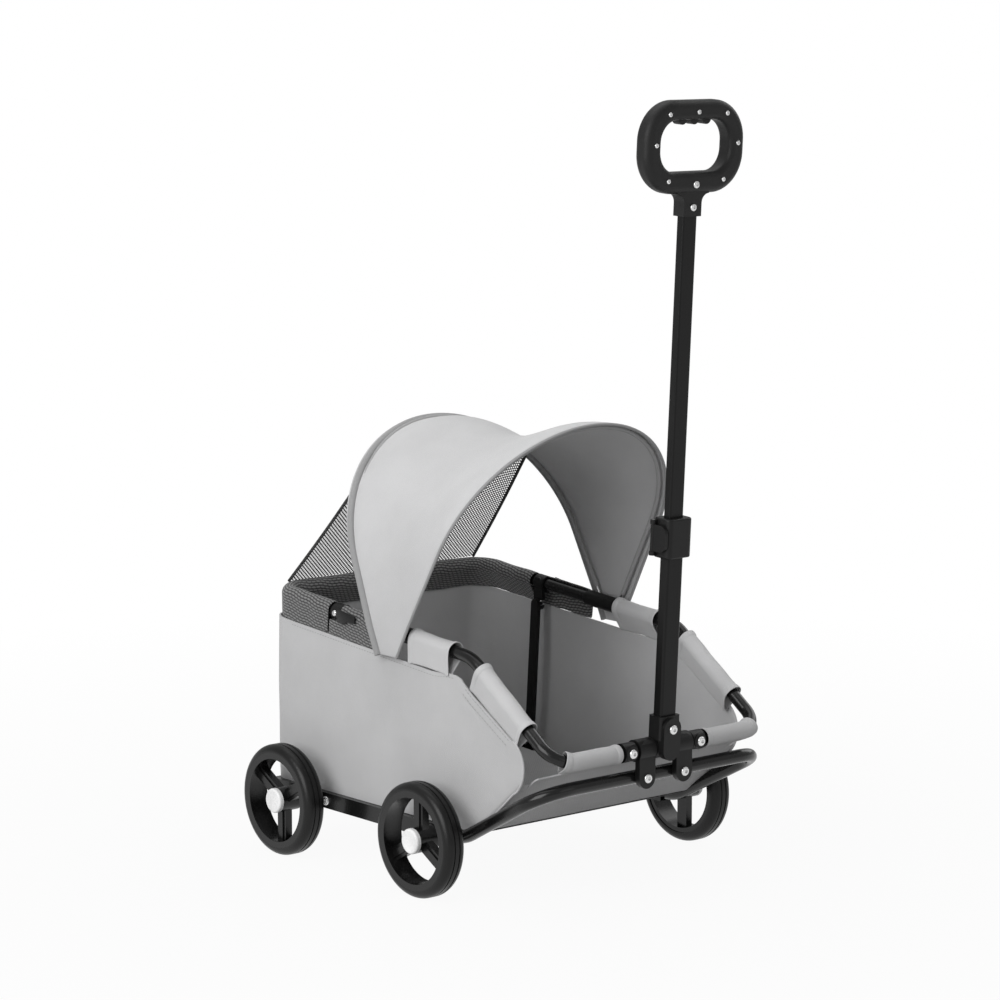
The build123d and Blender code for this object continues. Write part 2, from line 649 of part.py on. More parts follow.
def make_strut_rivet():
    reach = STRUT_THICKNESS / 2 + AXIAL_CLEARANCE + FOOT_EAR_THICKNESS
    head = STRUT_PIN_DIAMETER * 1.7
    rivet = rod_x(STRUT_X - reach, STRUT_X + reach, STRUT_FOOT_Y, STRUT_FOOT_Z, STRUT_PIN_DIAMETER)
    for side in (-1, 1):
        start = STRUT_X + side * reach
        rivet += rod_x(start, start + side * 1.5, STRUT_FOOT_Y, STRUT_FOOT_Z, head)
    return rivet


def make_strut():
    """A flat bar with a cross pin at its top that hooks into the rim clip."""
    rise = strut_top_z() - STRUT_FOOT_Z
    run = STRUT_TOP_Y - STRUT_FOOT_Y
    length = hypot(rise, run)
    lean = degrees(atan2(-run, rise))
    inner = STRUT_X - STRUT_THICKNESS / 2
    plane = Plane(origin=(inner, 0, 0), x_dir=(0, 1, 0), z_dir=(1, 0, 0))
    bar = extrude(plane * link_shape(STRUT_WIDTH / 2, length), STRUT_THICKNESS)
    bar -= rod_x(inner, inner + STRUT_THICKNESS, 0, 0, STRUT_PIN_DIAMETER + 2 * RUNNING_CLEARANCE)
    pin_end = inner + STRUT_THICKNESS + AXIAL_CLEARANCE + CLIP_LUG_THICKNESS + 1
    bar += rod_x(inner, pin_end, 0, length, STRUT_PIN_DIAMETER)
    return Location((0, STRUT_FOOT_Y, STRUT_FOOT_Z), (lean, 0, 0)) * bar


def rim_side_frame(y):
    """Local frame on the right side of the rim: Y along the tube, Z square to it."""
    lean = degrees(atan2(RIM_REAR_Z - RIM_BEND_Z, RIM_REAR_Y - RIM_BEND_Y))
    return Location((RIM_HALF_WIDTH, y, rim_side_z(y)), (lean, 0, 0))


def make_rim_clip():
    frame = rim_side_frame(STRUT_TOP_Y)
    clip = frame * rod_y(0, -CLIP_LENGTH / 2, CLIP_LENGTH / 2, 0, 2 * CLIP_RADIUS)
    lug_x = STRUT_X + STRUT_THICKNESS / 2 + AXIAL_CLEARANCE
    pin_z = strut_top_z()
    plane = Plane(origin=(lug_x, STRUT_TOP_Y, pin_z), x_dir=(0, 1, 0), z_dir=(1, 0, 0))
    slot_half = STRUT_PIN_DIAMETER / 2 + SLIDING_CLEARANCE
    lug = link_shape(CLIP_LUG_WIDTH / 2, STRUT_TOP_DROP)
    slot = Rot(0, 0, -CLIP_SLOT_ANGLE) * Pos(-CLIP_LUG_WIDTH / 2, 0) * Rectangle(CLIP_LUG_WIDTH, 2 * slot_half)
    lug -= Circle(slot_half) + slot
    clip += extrude(plane * lug, CLIP_LUG_THICKNESS)
    bore = RIM_DIAMETER + 2 * SEAT_CLEARANCE
    clip -= frame * rod_y(0, -CLIP_LENGTH, CLIP_LENGTH, 0, bore)
    hole = CLIP_SCREW_SHANK_DIAMETER + 2 * HOLE_CLEARANCE
    return clip - frame * rod_x(0, CLIP_RADIUS + 1, 0, 0, hole)


# Rim tube and what is fixed to it
def rim_nodes():
    right = [
        (RIM_END_GAP, LIP_Y, LIP_Z),
        (RIM_HALF_WIDTH, LIP_Y, LIP_Z),
        (RIM_HALF_WIDTH, RIM_BEND_Y, RIM_BEND_Z),
        (RIM_HALF_WIDTH, RIM_REAR_Y, RIM_REAR_Z),
    ]
    left = [(-x, y, z) for x, y, z in reversed(right)]
    radii = [LIP_CORNER_RADIUS, RIM_BEND_RADIUS, RIM_REAR_RADIUS]
    tube = round_tube(right + left, radii + radii[::-1], RIM_DIAMETER, RIM_WALL)
    screw_hole = SCREW_SHANK_DIAMETER + 2 * HOLE_CLEARANCE
    clip_hole = CLIP_SCREW_SHANK_DIAMETER + 2 * HOLE_CLEARANCE
    clip_frame = rim_side_frame(STRUT_TOP_Y)
    clip_bore = clip_frame * rod_x(0, RIM_DIAMETER, 0, 0, clip_hole)
    tube -= clip_bore
    tube -= mirrored(clip_bore)
    for side in (-1, 1):
        tube -= rod_y(side * COLLAR_X, LIP_Y - RIM_DIAMETER, LIP_Y, LIP_Z, screw_hole)

    plug = RIM_DIAMETER - 2 * (RIM_WALL + SEAT_CLEARANCE)
    coupler = rod_x(-COUPLER_LENGTH / 2, COUPLER_LENGTH / 2, LIP_Y, LIP_Z, plug)

    half = COLLAR_WIDTH / 2
    boss_front = LIP_Y - COLLAR_BOSS_REACH
    collar = rod_x(COLLAR_X - half, COLLAR_X + half, LIP_Y, LIP_Z, 2 * COLLAR_RADIUS)
    collar += rod_y(COLLAR_X, LIP_Y, boss_front, LIP_Z, 2 * COLLAR_BOSS_RADIUS)
    bore = RIM_DIAMETER + 2 * SEAT_CLEARANCE
    collar -= rod_x(COLLAR_X - COLLAR_WIDTH, COLLAR_X + COLLAR_WIDTH, LIP_Y, LIP_Z, bore)
    collar -= rod_y(COLLAR_X, LIP_Y, boss_front, LIP_Z, screw_hole)

    collar_screw = button_screw(
        SCREW_HEAD_DIAMETER,
        SCREW_HEAD_HEIGHT,
        SCREW_SHANK_DIAMETER,
        COLLAR_BOSS_REACH - 2,
        SCREW_SOCKET_WIDTH,
    )
    collar_screw = place_screw(collar_screw, (COLLAR_X, boss_front, LIP_Z), (0, -1, 0))
    clip_screw = button_screw(
        CLIP_SCREW_HEAD_DIAMETER,
        CLIP_SCREW_HEAD_DIAMETER * 0.35,
        CLIP_SCREW_SHANK_DIAMETER,
        CLIP_RADIUS - 1,
        CLIP_SCREW_HEAD_DIAMETER * 0.4,
    )
    clip_screw = clip_frame * place_screw(clip_screw, (CLIP_RADIUS, 0, 0), (1, 0, 0))

    return {
        "rim_tube": tube,
        "rim_coupler": coupler,
        "lip_collars": both_sides(collar),
        "lip_collar_screws": both_sides(collar_screw),
        "rim_clip_left": mirrored(make_rim_clip()),
        "rim_clip_right": make_rim_clip(),
        "rim_clip_screws": both_sides(clip_screw),
        "bow_brackets": both_sides(make_bow_bracket()),
        "cuff_left": mirrored(make_cuff()),
        "cuff_right": make_cuff(),
        "slope_sleeve_left": mirrored(make_slope_sleeve()),
        "slope_sleeve_right": make_slope_sleeve(),
        "lip_sleeve_left": mirrored(make_lip_sleeve()),
        "lip_sleeve_right": make_lip_sleeve(),
        "rear_band": make_rear_band(),
        "strut_left": mirrored(make_strut()),
        "strut_right": make_strut(),
    }


def make_cuff():
    frame = rim_side_frame(CUFF_REAR_Y)
    section = SLEEVE_PLANE * sleeve_section(SLEEVE_DROP, SLEEVE_REACH)
    return frame * extrude(section, (CUFF_REAR_Y - CUFF_FRONT_Y), dir=(0, -1, 0))


def make_slope_sleeve():
    angle = degrees(atan2(RIM_BEND_Z - LIP_Z, RIM_BEND_Y - LIP_Y))
    frame = Location((RIM_HALF_WIDTH, RIM_BEND_Y, RIM_BEND_Z), (angle, 0, 0))
    section = SLEEVE_PLANE * sleeve_section(SLEEVE_DROP, 0)
    sleeve = extrude(section, SLOPE_SLEEVE_LENGTH, dir=(0, -1, 0))
    return frame * Pos(0, -SLOPE_SLEEVE_START, 0) * sleeve


def make_lip_sleeve():
    angle = degrees(atan2(RIM_BEND_Z - LIP_Z, RIM_BEND_Y - LIP_Y))
    frame = Location((LIP_SLEEVE_INNER_X, LIP_Y, LIP_Z), (angle, 0, 0))
    section = Plane(origin=(0, 0, 0), x_dir=(0, 1, 0), z_dir=(1, 0, 0)) * sleeve_section(LIP_SLEEVE_DROP, 0)
    return frame * extrude(section, LIP_SLEEVE_OUTER_X - LIP_SLEEVE_INNER_X, dir=(1, 0, 0))


def make_rear_band():
    front_z = rim_side_z(BAND_FRONT_Y)
    path = FilletPolyline(
        (RIM_HALF_WIDTH, BAND_FRONT_Y, front_z),
        (RIM_HALF_WIDTH, RIM_REAR_Y, RIM_REAR_Z),
        (-RIM_HALF_WIDTH, RIM_REAR_Y, RIM_REAR_Z),
        (-RIM_HALF_WIDTH, BAND_FRONT_Y, front_z),
        radius=RIM_REAR_RADIUS,
    )
    start = Plane(origin=path @ 0, x_dir=(-1, 0, 0), z_dir=path % 0)
    band = sweep(start * sleeve_section(SLEEVE_DROP, -SLEEVE_REACH), path=path)
    skirt = make_side_skirt()
    return group([band, skirt, mirrored(skirt)])


def make_side_skirt():
    """The band's outer half, between the strut's clip and the bracket of the bows."""
    rear = STRUT_TOP_Y - CLIP_LENGTH / 2 - BAND_END_GAP
    front = (REAR_BOW_Y + FRONT_BOW_Y) / 2 + bow_bracket_half() + BAND_END_GAP
    skirt = extrude(SLEEVE_PLANE * skirt_section(SLEEVE_DROP, SLEEVE_REACH), rear - front, dir=(0, -1, 0))
    return rim_side_frame(rear) * skirt


# Hood
def bow_frame(y, lean):
    """Frame in the plane of a bow: local X across, local Y up the bow."""
    place = Location((0, y, rim_side_z(y)), (lean, 0, 0))
    return place * Location((0, 0, 0), (90, 0, 0))


def arch_shoulder(foot, radius, top):
    """Where a straight leg from a foot point runs smoothly into a round arch."""
    centre = top - radius
    across, rise = foot[0], foot[1] - centre
    angle = atan2(rise, across) + acos(radius / hypot(across, rise))
    return radius * cos(angle), centre + radius * sin(angle)


def make_bow(frame, height):
    shoulder_x, shoulder_y = arch_shoulder((BOW_X, 0), BOW_ARCH_RADIUS, height)
    left_leg = Line((-BOW_X, 0), (-shoulder_x, shoulder_y))
    arch = ThreePointArc((-shoulder_x, shoulder_y), (0, height), (shoulder_x, shoulder_y))
    right_leg = Line((shoulder_x, shoulder_y), (BOW_X, 0))
    path = Wire([left_leg.edge(), arch.edge(), right_leg.edge()])
    start = Plane(origin=left_leg @ 0, z_dir=left_leg % 0)
    wire = sweep(start * Circle(BOW_DIAMETER / 2), path=path)
    half = BOW_EYE_THICKNESS / 2
    for side in (-1, 1):
        wire += rod_x(side * BOW_X - half, side * BOW_X + half, 0, 0, 2 * BOW_EYE_RADIUS)
    bore = BOW_STUD_DIAMETER + 2 * RUNNING_CLEARANCE
    wire -= rod_x(-2 * BOW_X, 2 * BOW_X, 0, 0, bore)
    return frame * wire


def bow_bracket_half():
    return (REAR_BOW_Y - FRONT_BOW_Y) / 2 + BOW_BRACKET_OVERHANG


def make_bow_bracket():
    middle = (REAR_BOW_Y + FRONT_BOW_Y) / 2
    half = bow_bracket_half()
    frame = rim_side_frame(middle)
    bracket = frame * rod_y(0, -half, half, 0, 2 * BOW_BRACKET_RADIUS)
    bore = RIM_DIAMETER + 2 * SEAT_CLEARANCE
    root = RIM_HALF_WIDTH + BOW_BRACKET_RADIUS / 2
    head_start = BOW_STUD_END - BOW_STUD_HEAD_THICKNESS
    for y in (REAR_BOW_Y, FRONT_BOW_Y):
        bracket += rod_x(root, head_start, y, rim_side_z(y), BOW_STUD_DIAMETER)
        bracket += rod_x(head_start, BOW_STUD_END, y, rim_side_z(y), 2 * BOW_STUD_HEAD_RADIUS)
    return bracket - frame * rod_y(0, -2 * half, 2 * half, 0, bore)


def hood_face(lean, apex_z, half_width, crown, bottom_z):
    """The outline under the hood, in a plane that fans out from the hood's foot."""
    bottom = (bottom_z - HOOD_FAN_Z) / cos(radians(lean))
    waist = (HOOD_WAIST_Z - HOOD_FAN_Z) / cos(radians(lean))
    top = (apex_z - HOOD_FAN_Z) / cos(radians(lean)) + crown
    radius = BOW_ARCH_RADIUS + HOOD_SHOULDER_EASE + crown
    x, y = arch_shoulder((half_width, waist), radius, top)
    outline = [
        Line((-half_width, bottom), (half_width, bottom)),
        Line((half_width, bottom), (half_width, waist)),
        Line((half_width, waist), (x, y)),
        ThreePointArc((x, y), (0, top), (-x, y)),
        Line((-x, y), (-half_width, waist)),
        Line((-half_width, waist), (-half_width, bottom)),
    ]
    place = Location((0, HOOD_FAN_Y, HOOD_FAN_Z), (lean, 0, 0)) * Location((0, 0, 0), (90, 0, 0))
    return place * make_face([line.edge() for line in outline])


def hood_edge(y, lean, height, overhang):
    """Apex of a hood edge just past a bow: its lean from the fan line and its height."""
    apex_y = y - sin(radians(lean)) * height
    apex_z = rim_side_z(y) + cos(radians(lean)) * height
    apex_y += overhang
    return degrees(atan2(HOOD_FAN_Y - apex_y, apex_z - HOOD_FAN_Z)), apex_z


def hood_sag(station):
    """How far the cloth hangs below the straight line between the bows."""
    half_span = HOOD_STATIONS[-2] - 0.5
    return HOOD_SAG * max(0.0, 1 - ((station - 0.5) / half_span) ** 2)


def make_hood_sheet():
    rear_lean, rear_z = hood_edge(REAR_BOW_Y, -REAR_BOW_LEAN, REAR_BOW_HEIGHT, HOOD_EDGE_OVERHANG)
    front_lean, front_z = hood_edge(FRONT_BOW_Y, FRONT_BOW_LEAN, FRONT_BOW_HEIGHT, -HOOD_EDGE_OVERHANG)
    inner_crown = BOW_DIAMETER / 2 + 3 * CLOTH_CLEARANCE
    outer_crown = inner_crown + HOOD_CLOTH
    shells = []
    for half_width, crown, bottom_z in (
        (HOOD_OUTER_X, outer_crown, HOOD_BOTTOM_Z),
        (HOOD_INNER_X, inner_crown, HOOD_BOTTOM_Z - 5),
    ):
        faces = []
        for station in HOOD_STATIONS:
            lean = rear_lean + (front_lean - rear_lean) * station
            apex_z = rear_z + (front_z - rear_z) * station - hood_sag(station)
            faces.append(hood_face(lean, apex_z, half_width, crown, bottom_z))
        shells.append(loft(faces, ruled=True))
    return shells[0] - shells[1]


def make_rear_net():
    """Net stretched from the rear of the rim up to the top of the rear bow."""
    spring = REAR_BOW_HEIGHT - BOW_ARCH_RADIUS
    start = radians(NET_ARC_START)
    behind = BOW_DIAMETER / 2 + CLOTH_CLEARANCE
    corners = []
    for radius in (BOW_ARCH_RADIUS, BOW_ARCH_RADIUS - NET_THICKNESS):
        across, up = radius * cos(start), spring + radius * sin(start)
        corners.append(((-across, up), (0, spring + radius), (across, up)))
    outer, inner = corners
    arch = make_face(
        [
            ThreePointArc(*outer).edge(),
            Line(outer[2], inner[2]).edge(),
            ThreePointArc(*reversed(inner)).edge(),
            Line(inner[0], outer[0]).edge(),
        ]
    )
    arch = bow_frame(REAR_BOW_Y, -REAR_BOW_LEAN) * Pos(0, 0, -behind) * arch
    half = NET_REAR_HALF_WIDTH
    base = RIM_REAR_Z + RIM_DIAMETER / 2 + CLOTH + 2 * CLOTH_CLEARANCE
    outer_y, inner_y = RIM_REAR_Y + NET_THICKNESS / 2, RIM_REAR_Y - NET_THICKNESS / 2
    foot = make_face(
        [
            Line((-half, outer_y, base), (half, outer_y, base)).edge(),
            Line((half, outer_y, base), (half, inner_y, base)).edge(),
            Line((half, inner_y, base), (-half, inner_y, base)).edge(),
            Line((-half, inner_y, base), (-half, outer_y, base)).edge(),
        ]
    )
    return loft([foot, arch], ruled=True)


def hood_nodes():
    return {
        "bow_rear": make_bow(bow_frame(REAR_BOW_Y, -REAR_BOW_LEAN), REAR_BOW_HEIGHT),
        "bow_front": make_bow(bow_frame(FRONT_BOW_Y, FRONT_BOW_LEAN), FRONT_BOW_HEIGHT),
        "hood_sheet": make_hood_sheet(),
        "rear_net": make_rear_net(),
    }


# Pole parts are built upright on the lip's axis and then leaned forwards
def pole_column(width, depth, corner, z0, z1):
    outline = Pos(0, POLE_Y, z0) * RectangleRounded(width, depth, corner)
    return extrude(outline, z1 - z0)


def pole_link(y0, y1, radius, z0, z1):
    plane = Plane(origin=(0, y1, z0), x_dir=(1, 0, 0), z_dir=(0, -1, 0))
    return extrude(plane * link_shape(radius, z1 - z0), y1 - y0)


def make_pole_knuckle():
    half = KNUCKLE_WIDTH / 2
    knuckle = rod_x(-half, half, 0, 0, 2 * PLATE_BARREL_RADIUS)
    lug_radius = KNUCKLE_LUG_WIDTH / 2
    knuckle += pole_link(-KNUCKLE_LUG_FRONT, -KNUCKLE_LUG_BACK, lug_radius, 0, KNUCKLE_SCREW_RISE)
    socket_depth = LOWER_TUBE_DEPTH + 2 * SOCKET_WALL
    socket = pole_column(KNUCKLE_WIDTH, socket_depth, LOWER_TUBE_CORNER, SOCKET_BASE, SOCKET_TOP)
    knuckle += socket
    fit = 2 * SEAT_CLEARANCE
    knuckle -= pole_column(
        LOWER_TUBE_WIDTH + fit,
        LOWER_TUBE_DEPTH + fit,
        LOWER_TUBE_CORNER,
        LOWER_TUBE_START,
        SOCKET_TOP,
    )
    knuckle -= rod_x(-half, half, 0, 0, RIM_DIAMETER + 2 * RUNNING_CLEARANCE)
    shank = SCREW_SHANK_DIAMETER + 2 * HOLE_CLEARANCE
    return knuckle - rod_y(0, -KNUCKLE_LUG_FRONT, POLE_Y, KNUCKLE_SCREW_RISE, shank)


def make_lower_tube():
    wall = 2 * LOWER_TUBE_WALL
    tube = pole_column(
        LOWER_TUBE_WIDTH, LOWER_TUBE_DEPTH, LOWER_TUBE_CORNER, LOWER_TUBE_START, LOWER_TUBE_END
    )
    tube -= pole_column(
        LOWER_TUBE_WIDTH - wall,
        LOWER_TUBE_DEPTH - wall,
        LOWER_TUBE_CORNER - LOWER_TUBE_WALL,
        LOWER_TUBE_START,
        LOWER_TUBE_END,
    )
    shank = SCREW_SHANK_DIAMETER + 2 * HOLE_CLEARANCE
    return tube - rod_y(0, -KNUCKLE_LUG_FRONT, POLE_Y, KNUCKLE_SCREW_RISE, shank)


def lever_pin_place():
    return -(CLAMP_WIDTH / 2 + SLIDING_CLEARANCE + LEVER_KNUCKLE_RADIUS), LEVER_PIN_Y + POLE_Y


def make_clamp():
    body = pole_column(CLAMP_WIDTH, CLAMP_DEPTH, CLAMP_CORNER, CLAMP_START, CLAMP_TOP)
    rims = body.edges().filter_by(Plane.XY)
    body = fillet(rims, 2.0)
    pin_x, pin_y = lever_pin_place()
    middle = CLAMP_START + CLAMP_HEIGHT / 2
    gap = LEVER_HEIGHT / 2 + SLIDING_CLEARANCE
    ear_radius = LEVER_KNUCKLE_RADIUS + 0.8
    for z0, z1 in (
        (middle - gap - LEVER_EAR_HEIGHT, middle - gap),
        (middle + gap, middle + gap + LEVER_EAR_HEIGHT),
    ):
        body += rod_z(pin_x, pin_y, z0, z1, 2 * ear_radius)
        body += block(pin_x, 0, pin_y - ear_radius, pin_y + ear_radius, z0, z1)
    fit = 2 * SEAT_CLEARANCE
    body -= pole_column(
        LOWER_TUBE_WIDTH + fit, LOWER_TUBE_DEPTH + fit, LOWER_TUBE_CORNER, CLAMP_START, LOWER_TUBE_END
    )
    slide = 2 * SLIDING_CLEARANCE
    body -= pole_column(
        UPPER_TUBE_WIDTH + slide, UPPER_TUBE_DEPTH + slide, UPPER_TUBE_CORNER, CLAMP_START, CLAMP_TOP
    )
    return body - rod_z(pin_x, pin_y, CLAMP_START, CLAMP_TOP, LEVER_PIN_DIAMETER + 2 * SEAT_CLEARANCE)


def make_lever():
    pin_x, pin_y = lever_pin_place()
    middle = CLAMP_START + CLAMP_HEIGHT / 2
    half = LEVER_HEIGHT / 2
    inner_x = -(CLAMP_WIDTH / 2 + SLIDING_CLEARANCE)
    tip_y = pin_y - LEVER_LENGTH
    tab = block(inner_x - LEVER_THICKNESS, inner_x, tip_y, pin_y, middle - half, middle + half)
    tip_edges = tab.edges().filter_by(Axis.X).group_by(Axis.Y)[0]
    tab = fillet(tip_edges, half * 0.62)
    lever = tab + rod_z(pin_x, pin_y, middle - half, middle + half, 2 * LEVER_KNUCKLE_RADIUS)
    bore = LEVER_PIN_DIAMETER + 2 * RUNNING_CLEARANCE
    return lever - rod_z(pin_x, pin_y, middle - half, middle + half, bore)


def make_lever_pin():
    pin_x, pin_y = lever_pin_place()
    middle = CLAMP_START + CLAMP_HEIGHT / 2
    reach = LEVER_HEIGHT / 2 + SLIDING_CLEARANCE + LEVER_EAR_HEIGHT
    return rod_z(pin_x, pin_y, middle - reach, middle + reach, LEVER_PIN_DIAMETER)


def make_upper_tube():
    wall = 2 * UPPER_TUBE_WALL
    tube = pole_column(
        UPPER_TUBE_WIDTH, UPPER_TUBE_DEPTH, UPPER_TUBE_CORNER, UPPER_TUBE_START, UPPER_TUBE_END
    )
    tube -= pole_column(
        UPPER_TUBE_WIDTH - wall,
        UPPER_TUBE_DEPTH - wall,
        UPPER_TUBE_CORNER - UPPER_TUBE_WALL,
        UPPER_TUBE_START,
        UPPER_TUBE_END,
    )
    bolt_z = grip_bolt_places()[1]
    bolt = GRIP_BOLT_SHANK_DIAMETER + 2 * HOLE_CLEARANCE
    return tube - rod_y(0, POLE_Y - GRIP_DEPTH, POLE_Y + GRIP_DEPTH, bolt_z, bolt)


def grip_screw_places():
    top = GRIP_HEIGHT * 0.355
    return [
        (0, GRIP_CENTRE_Z + GRIP_HEIGHT * 0.375),
        (-GRIP_WIDTH * 0.29, GRIP_CENTRE_Z + top),
        (GRIP_WIDTH * 0.29, GRIP_CENTRE_Z + top),
        (-GRIP_WIDTH * 0.415, GRIP_CENTRE_Z + 3),
        (GRIP_WIDTH * 0.415, GRIP_CENTRE_Z + 3),
        (-GRIP_WIDTH * 0.28, GRIP_CENTRE_Z - top),
        (GRIP_WIDTH * 0.28, GRIP_CENTRE_Z - top),
    ]


def grip_bolt_places():
    return (GRIP_CENTRE_Z - GRIP_HEIGHT * 0.4, GRIP_NECK_START + GRIP_NECK_HEIGHT * 0.4)


def grip_ring():
    ring = Pos(0, GRIP_CENTRE_Z) * RectangleRounded(GRIP_WIDTH, GRIP_HEIGHT, GRIP_CORNER)
    hole_z = GRIP_CENTRE_Z + GRIP_HOLE_RISE
    hole = RectangleRounded(GRIP_HOLE_WIDTH, GRIP_HOLE_HEIGHT, GRIP_HOLE_CORNER)
    return ring - Pos(0, hole_z) * hole


def make_grip_half(side):
    """One half shell; side is -1 for the front half and 1 for the rear half."""
    half_depth = GRIP_DEPTH / 2
    plane = Plane(origin=(0, POLE_Y, 0), x_dir=(1, 0, 0), z_dir=(0, -1, 0))
    shell = extrude(plane * grip_ring(), -side * half_depth)
    outer_face = shell.faces().sort_by(Axis.Y)[0 if side < 0 else -1]
    shell = fillet(outer_face.outer_wire().edges(), GRIP_EDGE_RADIUS)
    outer_face = shell.faces().sort_by(Axis.Y)[0 if side < 0 else -1]
    shell = fillet(outer_face.inner_wires()[0].edges(), GRIP_HOLE_EDGE_RADIUS)
    tooth_z = GRIP_CENTRE_Z + GRIP_HOLE_RISE + GRIP_HOLE_HEIGHT / 2 + GRIP_TOOTH_RADIUS * 0.25
    tooth_y = POLE_Y + side * (half_depth - GRIP_HOLE_EDGE_RADIUS)
    for index in range(GRIP_TOOTH_COUNT):
        tooth_x = (index - (GRIP_TOOTH_COUNT - 1) / 2) * GRIP_TOOTH_PITCH
        shell += rod_y(tooth_x, POLE_Y, tooth_y, tooth_z, 2 * GRIP_TOOTH_RADIUS)
    neck_top = GRIP_CENTRE_Z - GRIP_HEIGHT / 2 + GRIP_EDGE_RADIUS
    neck_y = POLE_Y + side * GRIP_NECK_DEPTH / 2
    neck_half = GRIP_NECK_WIDTH / 2
    shell += block(-neck_half, neck_half, POLE_Y, neck_y, GRIP_NECK_START, neck_top)
    flare_x = neck_half + GRIP_NECK_FLARE
    flare_z = GRIP_CENTRE_Z - GRIP_HEIGHT / 2 - GRIP_NECK_FLARE
    web = block(-flare_x, flare_x, POLE_Y, neck_y, flare_z, neck_top)
    for x in (-flare_x, flare_x):
        web -= rod_y(x, POLE_Y - GRIP_DEPTH, POLE_Y + GRIP_DEPTH, flare_z, 2 * GRIP_NECK_FLARE)
    shell += web
    fit = 2 * SEAT_CLEARANCE
    shell -= pole_column(
        UPPER_TUBE_WIDTH + fit,
        UPPER_TUBE_DEPTH + fit,
        UPPER_TUBE_CORNER,
        GRIP_NECK_START,
        UPPER_TUBE_END + SEAT_CLEARANCE,
    )
    y0, y1 = POLE_Y - GRIP_DEPTH, POLE_Y + GRIP_DEPTH * 0.3
    for x, z in grip_screw_places():
        shell -= rod_y(x, y0, y1, z, GRIP_SCREW_SHANK_DIAMETER + 2 * HOLE_CLEARANCE)
    for z in grip_bolt_places():
        shell -= rod_y(0, y0, y1, z, GRIP_BOLT_SHANK_DIAMETER + 2 * HOLE_CLEARANCE)
    return shell


def grip_screws():
    front = POLE_Y - GRIP_DEPTH / 2
    length = GRIP_DEPTH * 0.75
    screw = button_screw(
        GRIP_SCREW_HEAD_DIAMETER,
        GRIP_SCREW_HEAD_DIAMETER * 0.3,
        GRIP_SCREW_SHANK_DIAMETER,
        length,
        GRIP_SCREW_HEAD_DIAMETER * 0.4,
    )
    return group(place_screw(screw, (x, front, z), (0, -1, 0)) for x, z in grip_screw_places())


def grip_bolts():
    bolt = button_screw(
        GRIP_BOLT_HEAD_DIAMETER,
        GRIP_BOLT_HEAD_DIAMETER * 0.35,
        GRIP_BOLT_SHANK_DIAMETER,
        GRIP_NECK_DEPTH * 0.75,
        GRIP_BOLT_HEAD_DIAMETER * 0.4,
    )
    ring_z, neck_z = grip_bolt_places()
    ring_bolt = place_screw(bolt, (0, POLE_Y - GRIP_DEPTH / 2, ring_z), (0, -1, 0))
    neck_bolt = place_screw(bolt, (0, POLE_Y - GRIP_NECK_DEPTH / 2, neck_z), (0, -1, 0))
    return group([ring_bolt, neck_bolt])


def pole_nodes():
    knuckle_screw = button_screw(
        SCREW_HEAD_DIAMETER,
        SCREW_HEAD_HEIGHT,
        SCREW_SHANK_DIAMETER,
        KNUCKLE_LUG_FRONT - POLE_OFFSET - UPPER_TUBE_DEPTH / 2 - AXIAL_CLEARANCE,
        SCREW_SOCKET_WIDTH,
    )
    upright = {
        "pole_knuckle": make_pole_knuckle(),
        "pole_screw": place_screw(knuckle_screw, (0, -KNUCKLE_LUG_FRONT, KNUCKLE_SCREW_RISE), (0, -1, 0)),
        "pole_lower": make_lower_tube(),
        "clamp_collar": make_clamp(),
        "clamp_lever": make_lever(),
        "lever_pin": make_lever_pin(),
        "pole_upper": make_upper_tube(),
        "grip_front": make_grip_half(-1),
        "grip_rear": make_grip_half(1),
        "grip_screws": grip_screws(),
        "grip_bolts": grip_bolts(),
    }
    return {name: POLE_FRAME * solid for name, solid in upright.items()}


def overall_middle(nodes):
    """Middle of the whole thing in Y, so that the origin can be put below it."""
    boxes = [solid.bounding_box() for solid in nodes.values()]
    return (min(box.min.Y for box in boxes) + max(box.max.Y for box in boxes)) / 2


nodes = {**chassis_nodes(), **wheel_nodes(), **rim_nodes(), **hood_nodes(), **pole_nodes()}
middle_y = overall_middle(nodes)
os.makedirs("parts", exist_ok=True)
for name, solid in nodes.items():
    export_step(Pos(0, -middle_y, 0) * solid, f"parts/{name}.step")
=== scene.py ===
import json
from itertools import pairwise
from math import acos, atan2, cos, hypot, pi, radians, sin, tan

import bmesh
import bpy
from mathutils import Matrix, Vector, noise

